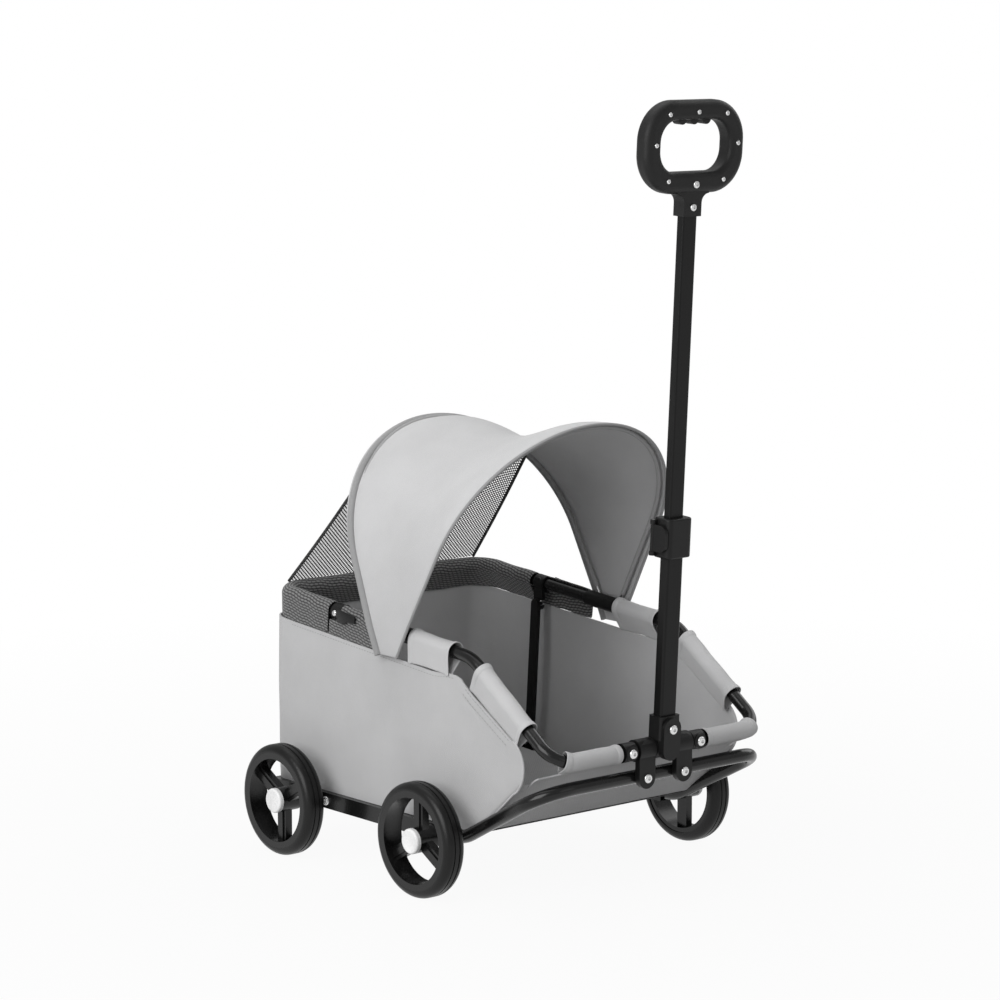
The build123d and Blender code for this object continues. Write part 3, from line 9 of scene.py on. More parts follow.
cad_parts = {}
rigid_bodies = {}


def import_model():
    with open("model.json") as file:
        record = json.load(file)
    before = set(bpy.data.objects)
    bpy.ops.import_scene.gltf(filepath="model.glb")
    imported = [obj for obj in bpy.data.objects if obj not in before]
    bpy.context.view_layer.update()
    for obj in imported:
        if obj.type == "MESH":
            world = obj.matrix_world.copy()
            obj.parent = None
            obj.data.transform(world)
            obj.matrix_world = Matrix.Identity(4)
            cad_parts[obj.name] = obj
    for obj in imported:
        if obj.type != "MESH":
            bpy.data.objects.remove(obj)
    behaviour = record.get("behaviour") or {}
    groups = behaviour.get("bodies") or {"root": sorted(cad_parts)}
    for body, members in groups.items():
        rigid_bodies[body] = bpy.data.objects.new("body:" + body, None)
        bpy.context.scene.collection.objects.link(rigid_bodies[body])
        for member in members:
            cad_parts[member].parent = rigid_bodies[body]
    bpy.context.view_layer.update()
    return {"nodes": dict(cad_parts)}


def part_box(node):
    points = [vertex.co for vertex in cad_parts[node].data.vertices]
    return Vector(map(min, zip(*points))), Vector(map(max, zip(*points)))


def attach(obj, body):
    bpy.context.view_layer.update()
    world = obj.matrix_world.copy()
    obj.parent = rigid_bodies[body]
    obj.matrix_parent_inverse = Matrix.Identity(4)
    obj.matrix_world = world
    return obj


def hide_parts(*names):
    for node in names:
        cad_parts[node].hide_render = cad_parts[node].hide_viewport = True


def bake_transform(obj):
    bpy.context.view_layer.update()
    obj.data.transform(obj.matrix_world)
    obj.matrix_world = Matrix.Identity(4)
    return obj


for leftover in list(bpy.data.objects):
    bpy.data.objects.remove(leftover)
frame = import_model()

# Sizes in metres. Y = 0 is half way between the axles, as in the part's source;
# place() moves a point from there into the row frame.
axle_low, axle_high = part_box("axles")
WHEELBASE_MIDDLE = (axle_low.y + axle_high.y) / 2
SIDES = ((-1, "left"), (1, "right"))

# Rim tube
RIM_RADIUS = 0.007
RIM_HALF_WIDTH = 0.150
RIM_REAR = (0.189, 0.2894)
RIM_BEND = (-0.155, 0.262)
LIP = (-0.291, 0.167)
RIM_REAR_RADIUS = 0.027
LIP_CORNER_RADIUS = 0.028

# Cloth tub
CLOTH = 0.0018
TUB_HALF_WIDTH = 0.158
TUB_REAR_Y = 0.198
TUB_BOTTOM = 0.0725
TUB_FLOOR_FRONT = -0.172
TUB_NOSE = (-0.252, 0.143)
TUB_REAR_RADIUS = 0.025
TUB_SEAM_RADIUS = 0.005
TUB_HEM = 0.011
TUB_HEM_RAISE = 0.0008
TUB_HEM_GROOVE = 0.0005
TUB_HEM_CUTS = (-0.0006, 0.0008, 0.0012, 0.0028)
TUB_GRID = 0.014
TUB_SWELL = 0.0032
TUB_RIPPLE = 0.0012
TUB_FINE_RIPPLE = 0.0003
NOTCH_RADIUS = 0.034
SIDE_CORNER_RADIUS = 0.034
SIDE_CORNER_DEPTH = 0.014
BEND_RISE = 0.005
BEND_RISE_BACK = 0.024
BEND_RISE_REACH = 0.034
HINGE_CUT_RADIUS = 0.024
HINGE_CUT_Y = -0.2955
CUTTER_HEIGHT = 0.05
CUTTER_MARGIN = 0.03
CUTTER_WIDTH = 0.04

# Sewn trim
BINDING_RADIUS = 0.0016
PIPING_RADIUS = 0.0014
NET_HEM_RADIUS = 0.0018
BOW_CHANNEL_RADIUS = 0.0026
STITCH_LENGTH = 0.0032
STITCH_GAP = 0.0016
STITCH_RADIUS = 0.00038
STITCH_FLATNESS = 0.8

# Sleeves that hang the tub on the rim
SLEEVE_RADIUS = RIM_RADIUS + 0.0022
SLEEVE_THICKNESS = 0.0012
SLEEVE_DROP = 0.027
SLEEVE_HEM = 0.007
SLEEVE_HEM_RELIEF = 0.0005
SLEEVE_FLARE_REACH = 0.018
STATION_SPACING = 0.005
HANG_STEPS = 6
LOOP_HEM_RADIUS = 0.0016
LIP_SLEEVE_DROP = 0.016
CUFF_ENDS_Y = (-0.058, -0.128)
SLOPE_SLEEVE_START = 0.020
SLOPE_SLEEVE_LENGTH = 0.094
SLOPE_SLEEVE_REACH = 0.003
LIP_SLEEVE_INNER_X = 0.062
LIP_SLEEVE_TURN = 30.0
SLEEVE_REACH = 0.007
BAND_FRONT_Y = 0.087
SKIRT_REAR_Y = 0.068
SKIRT_FRONT_Y = -0.006
SKIRT_TAB_REAR_Y = 0.0855
SKIRT_TAB_DROP = 0.008
CLIP_ARM_REAR_Y = 0.0665
CLIP_ARM_FRONT_Y = 0.034
CLIP_ARM_REACH = 0.0112
CLIP_ARM_THICKNESS = 0.0022
CLIP_ARM_EDGE = 0.0006

# Hood
BOW_ARCH_RADIUS = 0.155
BOW_X = 0.1615
BOW_CHANNEL_START = 0.014
REAR_BOW = (-0.016, -26.5, 0.240)
FRONT_BOW = (-0.046, 30.0, 0.267)
HOOD_THICKNESS = 0.0014
HOOD_HALF_WIDTH = 0.1664
HOOD_CROWN = 0.0042
HOOD_EASE = 0.003
HOOD_FAN = (-0.028, 0.218)
HOOD_BOTTOM = 0.247
HOOD_WAIST = 0.279
HOOD_OVERHANG = 0.003
HOOD_SAG = 0.022
HOOD_FLAT = 0.08
HOOD_TUCK = 0.0060
HOOD_RIPPLE = 0.0016
HOOD_FINE_RIPPLE = 0.0004

# Net
NET_ARC_START = 40.0
NET_HALF_WIDTH = 0.138
NET_BEHIND_BOW = 0.0022
NET_FOOT_RISE = 0.003
NET_SLACK = 0.006

# Mat
MAT_HALF_WIDTH = 0.120
MAT_FRONT_Y = -0.148
MAT_REAR_Y = 0.176
MAT_BOTTOM = 0.0785
MAT_THICKNESS = 0.015
MAT_CORNER = 0.030
MAT_SWELL = 0.004
MAT_CROWN = 0.002
MAT_VOXEL = 0.005
MAT_PRESSURE = 4.0
MAT_FRAMES = 20
MAT_MOST_SHIFT = 0.006

# Camera, matched to the photograph
CAMERA_AZIMUTH = -40.24
CAMERA_ELEVATION = 8.41
CAMERA_TARGET = (-0.0803, -0.1190, 0.4228)
CAMERA_DISTANCE = 3.7028
CAMERA_LENS = 122.46

SIDE_LEAN = atan2(RIM_REAR[1] - RIM_BEND[1], RIM_REAR[0] - RIM_BEND[0])
SLOPE_LEAN = atan2(RIM_BEND[1] - LIP[1], RIM_BEND[0] - LIP[0])
WHITE = (1.0, 1.0, 1.0, 1.0)


def place(x, y, z):
    return Vector((x, y + WHEELBASE_MIDDLE, z))


def rim_side_z(y):
    """Height of the rim tube's centre line along the side of the tub."""
    return RIM_REAR[1] - (RIM_REAR[0] - y) * tan(SIDE_LEAN)


def smooth_step(low, high, value):
    share = min(1.0, max(0.0, (value - low) / (high - low)))
    return share * share * (3 - 2 * share)


def between(first, last, share):
    return first[0] + (last[0] - first[0]) * share, first[1] + (last[1] - first[1]) * share


def spread(first, last, steps):
    """Evenly spaced numbers from first to last."""
    return [first + (last - first) * step / steps for step in range(steps + 1)]


def arc_points(centre, radius, first, last, steps):
    """Flat points along an arc from one angle to another."""
    x, y = centre
    return [(x + radius * cos(angle), y + radius * sin(angle)) for angle in spread(first, last, steps)]


# Shader nodes
class Nodes:
    """Short ways to add nodes to a shader tree."""

    def __init__(self, tree):
        self.tree = tree

    def feed(self, socket, value):
        """Links another socket to an input, or gives it a plain value."""
        if isinstance(value, bpy.types.NodeSocket):
            self.tree.links.new(value, socket)
        else:
            socket.default_value = value

    def fill(self, sockets, values):
        """Feeds sockets by label; an underscore stands for a space."""
        for label, value in values.items():
            self.feed(sockets[label.replace("_", " ")], value)

    def add(self, kind, **values):
        node = self.tree.nodes.new("ShaderNode" + kind)
        self.fill(node.inputs, values)
        return node

    def math(self, operation, *values, clamp=False):
        """Output of a Math node; the values are sockets or plain numbers."""
        node = self.add("Math")
        node.operation = operation
        node.use_clamp = clamp
        for socket, value in zip(node.inputs, values):
            self.feed(socket, value)
        return node.outputs[0]

    def mix(self, share, first, second, output):
        """Mixes the shaders of two nodes into an output node."""
        node = self.add("MixShader", Fac=share)
        for socket, shader in zip(node.inputs[1:], (first, second)):
            self.feed(socket, shader.outputs[0])
        self.feed(self.tree.nodes[output].inputs["Surface"], node.outputs[0])


class Group(Nodes):
    """A node group that takes a Vector and some numbers, and gives numbers."""

    def __init__(self, name, inputs, outputs):
        super().__init__(bpy.data.node_groups.new(name, "ShaderNodeTree"))
        sockets = self.tree.interface
        sockets.new_socket("Vector", in_out="INPUT", socket_type="NodeSocketVector")
        for way, labels in (("INPUT", inputs), ("OUTPUT", outputs)):
            for label in labels:
                sockets.new_socket(label, in_out=way, socket_type="NodeSocketFloat")
        self.entry = self.tree.nodes.new("NodeGroupInput").outputs
        self.leave = self.tree.nodes.new("NodeGroupOutput").inputs

    def split(self):
        """X and Y of the group's Vector."""
        return self.add("SeparateXYZ", Vector=self.entry["Vector"]).outputs[:2]

    def ridges(self, turns, wave="SINE"):
        """Rounded ridges, one to each whole turn."""
        return self.math("ABSOLUTE", self.math(wave, self.math("MULTIPLY", turns, pi)))

    def give(self, **values):
        """Feeds the group's outputs, and returns its tree."""
        self.fill(self.leave, values)
        return self.tree


def make_weave_group():
    """Plain weave: threads that pass over and under each other."""
    group = Group("Plain Weave", ["Threads per Metre"], ["Height", "Gap"])
    threads = group.entry["Threads per Metre"]
    warp, weft = (group.math("MULTIPLY", part, threads) for part in group.split())
    across, along = group.ridges(warp), group.ridges(weft)
    squares = group.math("ADD", group.math("FLOOR", warp), group.math("FLOOR", weft))
    over = group.math("FLOORED_MODULO", squares, 2.0)
    lower = group.math("MULTIPLY", along, group.math("SUBTRACT", 1.0, over))
    height = group.math("MULTIPLY_ADD", across, over, lower)
    # Gap is highest in the hollows between threads; make_cloth paints the cloth darker there as shade.
    lowest = group.math("MINIMUM", across, along)
    gap = group.math("SUBTRACT", 1.0, group.math("MULTIPLY", lowest, 3.0, clamp=True))
    return group.give(Height=height, Gap=gap)


def make_tone_group():
    """Slow unevenness of dye or paint, with a fine speckle on top."""
    group = Group("Uneven Tone", ["Patch Scale", "Speckle Scale"], ["Patches", "Speckle"])
    vector, patch_scale, speckle_scale = group.entry[:3]
    patches = group.add("TexNoise", Vector=vector, Scale=patch_scale, Detail=3.0, Roughness=0.55)
    speckle = group.add("TexNoise", Vector=vector, Scale=speckle_scale, Detail=2.0, Roughness=0.6)
    return group.give(Patches=patches.outputs["Fac"], Speckle=speckle.outputs["Fac"])


def make_rib_group():
    """Wavy rows along a knitted tape, broken into stitches."""
    group = Group("Tape Ribs", ["Ribs per Metre", "Slant"], ["Height"])
    x, y = group.split()
    ribs = group.entry["Ribs per Metre"]
    lean = group.math("MULTIPLY", x, group.entry["Slant"])
    wave = group.math("SINE", group.math("MULTIPLY", x, 210.0))
    bent = group.math("MULTIPLY_ADD", wave, 0.0006, lean)
    turns = group.math("MULTIPLY", group.math("ADD", y, bent), ribs)
    cross = group.math("MULTIPLY", group.math("MULTIPLY", x, ribs), 0.5)
    stitch = group.ridges(group.math("MULTIPLY_ADD", group.math("FLOOR", turns), 0.37, cross))
    broken = group.math("MULTIPLY_ADD", stitch, 0.55, 0.45)
    return group.give(Height=group.math("MULTIPLY", group.ridges(turns), broken))


def make_mesh_group():
    """Open net: threads of a diamond mesh with holes between them."""
    group = Group("Open Mesh", ["Holes per Metre", "Thread Share"], ["Thread", "Height"])
    parts = group.split()
    waves = []
    for operation in ("ADD", "SUBTRACT"):
        slanted = group.math(operation, *parts)
        turns = group.math("MULTIPLY", slanted, group.entry["Holes per Metre"])
        waves.append(group.ridges(turns, "COSINE"))
    height = group.math("MAXIMUM", *waves)
    edge = group.math("SUBTRACT", 1.0, group.entry["Thread Share"])
    return group.give(Thread=group.math("GREATER_THAN", height, edge), Height=height)


WEAVE = make_weave_group()
TONE = make_tone_group()
RIBS = make_rib_group()
MESH = make_mesh_group()


# Materials
class Finish(Nodes):
    """A material under construction."""

    def __init__(self, name, **values):
        self.material = bpy.data.materials.new(name)
        self.material.use_nodes = True
        super().__init__(self.material.node_tree)
        self.shader = self.tree.nodes["Principled BSDF"].inputs
        self.coords = self.add("TexCoord").outputs
        self.fill(self.shader, values)

    def group(self, tree, coords, **values):
        """Outputs of a node group that reads one kind of coordinates."""
        node = self.add("Group")
        node.node_tree = tree
        self.fill(node.inputs, {"Vector": self.coords[coords], **values})
        return node.outputs

    def tone(self, patch_scale, speckle_scale):
        return self.group(TONE, "Object", Patch_Scale=patch_scale, Speckle_Scale=speckle_scale)

    def total(self, *terms):
        """Sum of (socket, weight) terms."""
        result = 0.0
        for socket, weight in terms:
            result = self.math("MULTIPLY_ADD", socket, weight, result)
        return result

    def colour(self, share, stops):
        """Base colour from a ramp of (position, grey or RGB) stops."""
        ramp = self.add("ValToRGB", Fac=share)
        elements = ramp.color_ramp.elements
        while len(elements) < len(stops):
            elements.new(0.5)
        for element, (position, shade) in zip(elements, stops):
            element.position = position
            element.color = (*shade, 1.0) if isinstance(shade, tuple) else (shade, shade, shade, 1.0)
        self.feed(self.shader["Base Color"], ramp.outputs["Color"])

    def roughness(self, share, low, high):
        self.feed(self.shader["Roughness"], self.math("MULTIPLY_ADD", share, high - low, low))

    def bump(self, height, distance, strength=1.0):
        node = self.add("Bump", Height=height, Distance=distance, Strength=strength)
        self.feed(self.shader["Normal"], node.outputs["Normal"])


def make_cloth(name, grey, threads=850.0):
    """Woven grey cloth, a touch cool, with uneven dye and painted shade in the gaps between threads."""
    finish = Finish(name, Sheen_Weight=0.25, Sheen_Roughness=0.5, Specular_IOR_Level=0.25)
    weave = finish.group(WEAVE, "UV", Threads_per_Metre=threads)
    tone = finish.tone(14.0, 900.0)
    # The colour darkens in the gaps between threads: painted shade.
    share = finish.total((tone["Patches"], 0.45), (tone["Speckle"], 0.30), (weave["Gap"], -0.22))
    dark, pale = grey * 0.84, grey * 1.12
    finish.colour(share, [(0.05, (dark, dark, dark * 1.01)), (0.62, (pale, pale, pale * 1.008))])
    finish.roughness(tone["Speckle"], 0.78, 0.95)
    finish.bump(finish.total((weave["Height"], 1.0), (tone["Speckle"], 0.5)), 0.0004, 0.6)
    return finish.material


def make_tape(name, grey):
    """Dark ribbed tape, darker in the grooves between ribs and lighter on their tops: painted shade and
    painted highlight.
    """
    finish = Finish(name, Sheen_Weight=0.2, Specular_IOR_Level=0.3)
    ribs = finish.group(RIBS, "UV", Ribs_per_Metre=310.0, Slant=0.12)
    tone = finish.tone(30.0, 700.0)
    # Colour follows rib height: painted shade in the grooves, painted highlight on the rib tops.
    share = finish.total((ribs["Height"], 1.0), (tone["Speckle"], 0.3))
    finish.colour(share, [(0.12, grey * 0.12), (0.55, grey * 0.8), (0.95, grey * 2.6)])
    finish.roughness(tone["Speckle"], 0.7, 0.9)
    finish.bump(ribs["Height"], 0.0009)
    return finish.material


def make_net():
    """Black mesh that shows what is behind it through its holes."""
    finish = Finish("black_net", Roughness=0.75, Specular_IOR_Level=0.3)
    mesh = finish.group(MESH, "UV", Holes_per_Metre=215.0, Thread_Share=0.22)
    finish.colour(finish.tone(40.0, 900.0)["Speckle"], [(0.3, 0.010), (0.7, 0.028)])
    finish.feed(finish.shader["Alpha"], mesh["Thread"])
    finish.bump(mesh["Height"], 0.0006)
    return finish.material


def make_rigid(name, scales, patch_share, stops, rough, grain, **values):
    """A hard surface whose colour, gloss and grain vary at two scales."""
    finish = Finish(name, **values)
    tone = finish.tone(*scales)
    share = finish.total((tone["Patches"], patch_share), (tone["Speckle"], 1 - patch_share))
    finish.colour(share, stops)
    source, low, high = rough
    finish.roughness(tone[source], low, high)
    finish.bump(tone["Speckle"], *grain)
    return finish.material


def make_paint(name, grey, low, high, coat, specular):
    """Powder paint on tube: a slight orange peel and faint rub marks."""
    stops = [(0.25, grey * 0.7), (0.75, grey * 1.4)]
    return make_rigid(
        name, (26.0, 520.0), 0.7, stops, ("Patches", low, high), (0.0002, 0.35),
        Coat_Weight=coat, Coat_Roughness=0.12, Specular_IOR_Level=specular,
    )


def make_plastic(name, grey, low, high, grain, speckle=1300.0, specular=0.3):
    """Moulded plastic with a fine spark grain."""
    stops = [(0.3, grey * 0.75), (0.7, grey * 1.3)]
    return make_rigid(
        name, (34.0, speckle), 0.5, stops, ("Patches", low, high), (grain, 0.6),
        Specular_IOR_Level=specular,
    )


def make_metal(name, grey, low, high):
    """Bright plated or bare metal with fine drag marks."""
    stops = [(0.2, grey * 0.8), (0.8, grey)]
    return make_rigid(
        name, (120.0, 2200.0), 1.0, stops, ("Speckle", low, high), (0.0001, 0.3), Metallic=1.0
    )


# The hood's grey is set lighter than the tub's from how bright each looks: the same cloth, with the
# extra light on the upward-facing hood painted into its colour.
HOOD_CLOTH_PAINTED_LIGHTER = make_cloth("hood_cloth", 0.57)
TUB_CLOTH = make_cloth("tub_cloth", 0.50)
SLEEVE_CLOTH = make_cloth("sleeve_cloth", 0.55)
LIP_CLOTH = make_cloth("lip_cloth", 0.47)
BINDING_CLOTH = make_cloth("binding_cloth", 0.34)
HOOD_ROLL_CLOTH = make_cloth("hood_roll_cloth", 0.31)
MAT_CLOTH = make_cloth("mat_cloth", 0.42, threads=600.0)
BLACK_BINDING = make_tape("black_binding", 0.018)
BAND_TAPE = make_tape("band_tape", 0.080)
NET = make_net()
THREAD = make_plastic("sewing_thread", 0.30, 0.6, 0.8, 0.0002)
TUBE_PAINT = make_paint("black_tube_paint", 0.005, 0.18, 0.34, 0.25, 0.24)
POLE_PAINT = make_paint("black_pole_paint", 0.005, 0.26, 0.40, 0.02, 0.18)
BRACKET_PLASTIC = make_plastic("black_bracket_plastic", 0.006, 0.34, 0.50, 0.00025, specular=0.24)
GRIP_PLASTIC = make_plastic("black_grip_plastic", 0.009, 0.38, 0.55, 0.00035, specular=0.26)
WHEEL_PLASTIC = make_plastic("black_wheel_plastic", 0.005, 0.18, 0.30, 0.0001, specular=0.36)
CAP_PLASTIC = make_plastic("pale_cap_plastic", 0.80, 0.32, 0.46, 0.0001)
TYRE_RUBBER = make_plastic("tyre_rubber", 0.005, 0.26, 0.42, 0.0002, speckle=700.0, specular=0.27)
SCREW_PLATE = make_metal("screw_plate", 0.78, 0.16, 0.32)
STEEL = make_metal("plain_steel", 0.56, 0.28, 0.45)
HARDBOARD = make_rigid(
    "hardboard", (22.0, 600.0), 0.5, [(0.3, 0.035), (0.7, 0.075)], ("Speckle", 0.55, 0.8), (0.0004, 1.0),
    Specular_IOR_Level=0.3,
)


# Mesh helpers
def project_uv(bm):
    """UVs in metres, laid on from the axis that each face looks along."""
    layer = bm.loops.layers.uv.verify()
    bm.normal_update()
    for face in bm.faces:
        facing = max(range(3), key=lambda axis: abs(face.normal[axis]))
        for loop in face.loops:
            loop[layer].uv = [part for axis, part in enumerate(loop.vert.co) if axis != facing]


def new_object(name, data):
    holder = bpy.data.objects.new(name, data)
    bpy.context.scene.collection.objects.link(holder)
    return holder


def sharpen(mesh):
    """Keeps the shading of steep edges crisp."""
    mesh.set_sharp_from_angle(angle=radians(50))


def paint_mesh(mesh, material):
    """Gives a mesh one material in place of any it had."""
    mesh.materials.clear()
    mesh.materials.append(material)


def fill_mesh(mesh, bm, material):
    for face in bm.faces:
        face.smooth = True
    bm.to_mesh(mesh)
    bm.free()
    paint_mesh(mesh, material)


def new_piece(name, bm, material):
    mesh = bpy.data.meshes.new(name)
    fill_mesh(mesh, bm, material)
    sharpen(mesh)
    return new_object(name, mesh)


def thicken(piece, thickness, offset=-1.0, rounded=True):
    solidify = piece.modifiers.new("Thickness", "SOLIDIFY")
    solidify.thickness = thickness
    solidify.offset = offset
    if rounded:
        subdivide = piece.modifiers.new("Rounding", "SUBSURF")
        subdivide.levels = subdivide.render_levels = 1


def shown_mesh(holder):
    """A new mesh of what an object shows."""
    depsgraph = bpy.context.evaluated_depsgraph_get()
    return bpy.data.meshes.new_from_object(holder.evaluated_get(depsgraph), depsgraph=depsgraph)


def apply_modifiers(piece):
    """Makes what the modifiers show the piece's own mesh."""
    mesh = shown_mesh(piece)
    piece.modifiers.clear()
    piece.data = mesh


def bevel(bm, edges, offset, segments):
    bmesh.ops.bevel(
        bm, geom=edges, offset=offset, offset_type="OFFSET", affect="EDGES",
        segments=segments, profile=0.5, material=-1,
    )


def prism(outline, along):
    """A closed block between a flat outline and its copy moved along."""
    bm = bmesh.new()
    face = bm.faces.new([bm.verts.new(point) for point in outline])
    made = bmesh.ops.extrude_face_region(bm, geom=[face])["geom"]
    far = [item for item in made if isinstance(item, bmesh.types.BMVert)]
    bmesh.ops.translate(bm, verts=far, vec=along)
    bmesh.ops.recalc_face_normals(bm, faces=bm.faces)
    return bm


def tube_piece(name, points, radius, material):
    """A round cord of binding or piping along points in the row frame."""
    curve = bpy.data.curves.new(name, "CURVE")
    curve.dimensions = "3D"
    curve.bevel_depth = radius
    curve.bevel_resolution = 3
    curve.use_fill_caps = True
    spline = curve.splines.new("POLY")
    spline.points.add(len(points) - 1)
    for point, target in zip(spline.points, points):
        point.co = (*target, 1.0)
    holder = new_object(name + "_line", curve)
    mesh = shown_mesh(holder)
    bpy.data.objects.remove(holder)
    bm = bmesh.new()
    bm.from_mesh(mesh)
    bmesh.ops.remove_doubles(bm, verts=bm.verts, dist=1e-6)
    bmesh.ops.recalc_face_normals(bm, faces=bm.faces)
    project_uv(bm)
    return new_piece(name, bm, material)


def grid_mesh(columns, rows, spot, uv):
    """Mesh of a sheet; spot and uv take shares of the way across and along its grid."""
    bm = bmesh.new()
    bmesh.ops.create_grid(bm, x_segments=columns, y_segments=rows, size=0.5)
    layer = bm.loops.layers.uv.new("UVMap")
    for vert in bm.verts:
        across, along = vert.co.x + 0.5, vert.co.y + 0.5
        vert.co = spot(across, along)
        for loop in vert.link_loops:
            loop[layer].uv = uv(across, along)
    bmesh.ops.recalc_face_normals(bm, faces=bm.faces)
    return bm


def edge_line(points, spacing):
    """Points along a polyline, about spacing apart."""
    line = [points[0]]
    for start, end in pairwise(points):
        steps = max(1, round((end - start).length / spacing))
        line += [start.lerp(end, step / steps) for step in range(1, steps + 1)]
    return line


def ride(piece, body, slot, *nodes):
    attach(piece, body)
    if nodes:
        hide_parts(*nodes)


def stitch_row(name, points, outward):
    """Stitches along points; outward gives the cloth's outer side at each point."""
    shape = Matrix.Diagonal((STITCH_LENGTH / 2 / STITCH_RADIUS, 1, STITCH_FLATNESS, 1))
    bm = bmesh.new()
    reach = 0.0
    middle = STITCH_GAP + STITCH_LENGTH / 2
    for (start, end), (start_out, end_out) in zip(pairwise(points), pairwise(outward)):
        span = (end - start).length
        along = (end - start).normalized()
        while middle <= reach + span:
            share = (middle - reach) / span
            out = start_out.lerp(end_out, share).normalized()
            turn = Matrix((along, along.cross(out), out)).transposed().to_4x4()
            spot = Matrix.Translation(start.lerp(end, share)) @ turn @ shape
            bmesh.ops.create_icosphere(bm, subdivisions=1, radius=STITCH_RADIUS, matrix=spot)
            middle += STITCH_LENGTH + STITCH_GAP
        reach += span
    return new_piece(name, bm, THREAD)


# Tub: a cloth shell hung from the rim
def tub_outline():
    """Side view of the tub as (y, z) points, from the rear bottom round by the top."""
    half_turn = (SLOPE_LEAN - SIDE_LEAN) / 2
    middle = (SLOPE_LEAN + SIDE_LEAN) / 2
    reach = SLEEVE_DROP / cos(half_turn)
    bend = (RIM_BEND[0] + reach * sin(middle), RIM_BEND[1] - reach * cos(middle))
    lip = (LIP[0] + LIP_SLEEVE_DROP * sin(SLOPE_LEAN), LIP[1] - LIP_SLEEVE_DROP * cos(SLOPE_LEAN))
    rear_top = rim_side_z(TUB_REAR_Y) - SLEEVE_DROP / cos(SIDE_LEAN)
    return [
        (TUB_REAR_Y, TUB_BOTTOM),
        (TUB_REAR_Y, rear_top),
        bend,
        lip,
        TUB_NOSE,
        (TUB_FLOOR_FRONT, TUB_BOTTOM),
    ]


TUB_OUTLINE = tub_outline()
TUB_BEND = TUB_OUTLINE[2]


def side_corner():
    """Arc that rounds the front corner of a side panel."""
    bend, lip, nose, floor_front = (Vector(point) for point in TUB_OUTLINE[2:])
    slope, front = (lip - bend).normalized(), (nose - floor_front).normalized()
    tip = bend + slope * ((floor_front - bend).cross(front) / slope.cross(front))
    half = acos(max(-1.0, min(1.0, slope.dot(front)))) / 2
    reach = SIDE_CORNER_RADIUS / sin(half)
    centre = tip - (slope + front).normalized() * reach
    start, end = (tip - edge * (reach * cos(half)) - centre for edge in (slope, front))
    first = atan2(start.y, start.x)
    last = first + (atan2(end.y, end.x) - first) % (2 * pi)
    return arc_points(centre, SIDE_CORNER_RADIUS, first, last, 12)


def tub_top_z(y):
    """Height of the tub's top edge at y."""
    rear_top, bend, lip = TUB_OUTLINE[1:4]
    (y0, z0), (y1, z1) = (bend, rear_top) if y > bend[0] else (lip, bend)
    return z0 + (z1 - z0) * (y - y0) / (y1 - y0)


def below_top(y, z):
    """How far a point of the tub's side lies below its top edge, square to that edge."""
    lean = SIDE_LEAN if y > TUB_BEND[0] else SLOPE_LEAN
    return (tub_top_z(y) - z) * cos(lean)


def hem_relief(depth):
    """Relief of a turned hem at a depth below the top edge, with a groove at its seam."""
    raised = TUB_HEM_RAISE * (1 - smooth_step(TUB_HEM - 0.0005, TUB_HEM + 0.0008, depth))
    return raised - TUB_HEM_GROOVE * max(0.0, 1 - abs(depth - TUB_HEM - 0.0012) / 0.0014)


def swell_tub(point):
    """Where a point of the flat-sided tub goes once its cloth swells."""
    x, y, z = point
    y -= WHEELBASE_MIDDLE
    height = min(1.0, max(0.0, (z - TUB_BOTTOM) / max(0.02, tub_top_z(y) - TUB_BOTTOM)))
    belly = sin(pi * height) ** 0.8
    side = smooth_step(TUB_HALF_WIDTH - 0.012, TUB_HALF_WIDTH - 0.001, abs(x))
    rear = smooth_step(TUB_REAR_Y - 0.012, TUB_REAR_Y - 0.001, y)
    length = smooth_step(TUB_NOSE[0] - 0.02, -0.16, y) * (1 - 0.5 * smooth_step(0.12, TUB_REAR_Y, y))
    ripple = noise.noise(Vector((x * 14, y * 13, z * 19))) * TUB_RIPPLE
    ripple += noise.noise(Vector((x * 40, y * 36, z * 50))) * TUB_FINE_RIPPLE
    ends = 1 - smooth_step(0.09, TUB_HALF_WIDTH, abs(x))
    depth = below_top(y, z)
    on_slope = 1 - smooth_step(RIM_BEND[0] - 0.010, RIM_BEND[0] + 0.020, y)
    hem = hem_relief(depth) * on_slope
    near_bend = max(0.0, 1 - abs(y - RIM_BEND[0] - BEND_RISE_BACK) / BEND_RISE_REACH)
    lifted = BEND_RISE * smooth_step(0.0, 1.0, near_bend) * (1 - smooth_step(0.0, 0.030, depth))
    moved = Vector(point)
    moved.z += side * lifted
    moved.x += (1 if x > 0 else -1) * side * (belly * length * TUB_SWELL + ripple * belly + hem)
    moved.y += rear * (belly * (0.4 + 0.6 * ends) * (TUB_SWELL + ripple) + hem)
    return moved


def tub_cuts():
    """Planes, as (point, normal), that cut the tub's faces small enough to swell."""
    low = place(-TUB_HALF_WIDTH, LIP[0], TUB_BOTTOM)
    high = place(TUB_HALF_WIDTH, TUB_REAR_Y, RIM_REAR[1])
    cuts = []
    for axis in range(3):
        steps = round((high[axis] - low[axis]) / TUB_GRID)
        normal = Vector([1.0 if part == axis else 0.0 for part in range(3)])
        for share in spread(0, 1, steps)[1:-1]:
            cuts.append((low + normal * ((high[axis] - low[axis]) * share), normal))
    for lean in (SIDE_LEAN, SLOPE_LEAN):
        square = Vector((0, -sin(lean), cos(lean)))
        cuts += [(place(0, *TUB_BEND) - square * (TUB_HEM + step), square) for step in TUB_HEM_CUTS]
    return cuts


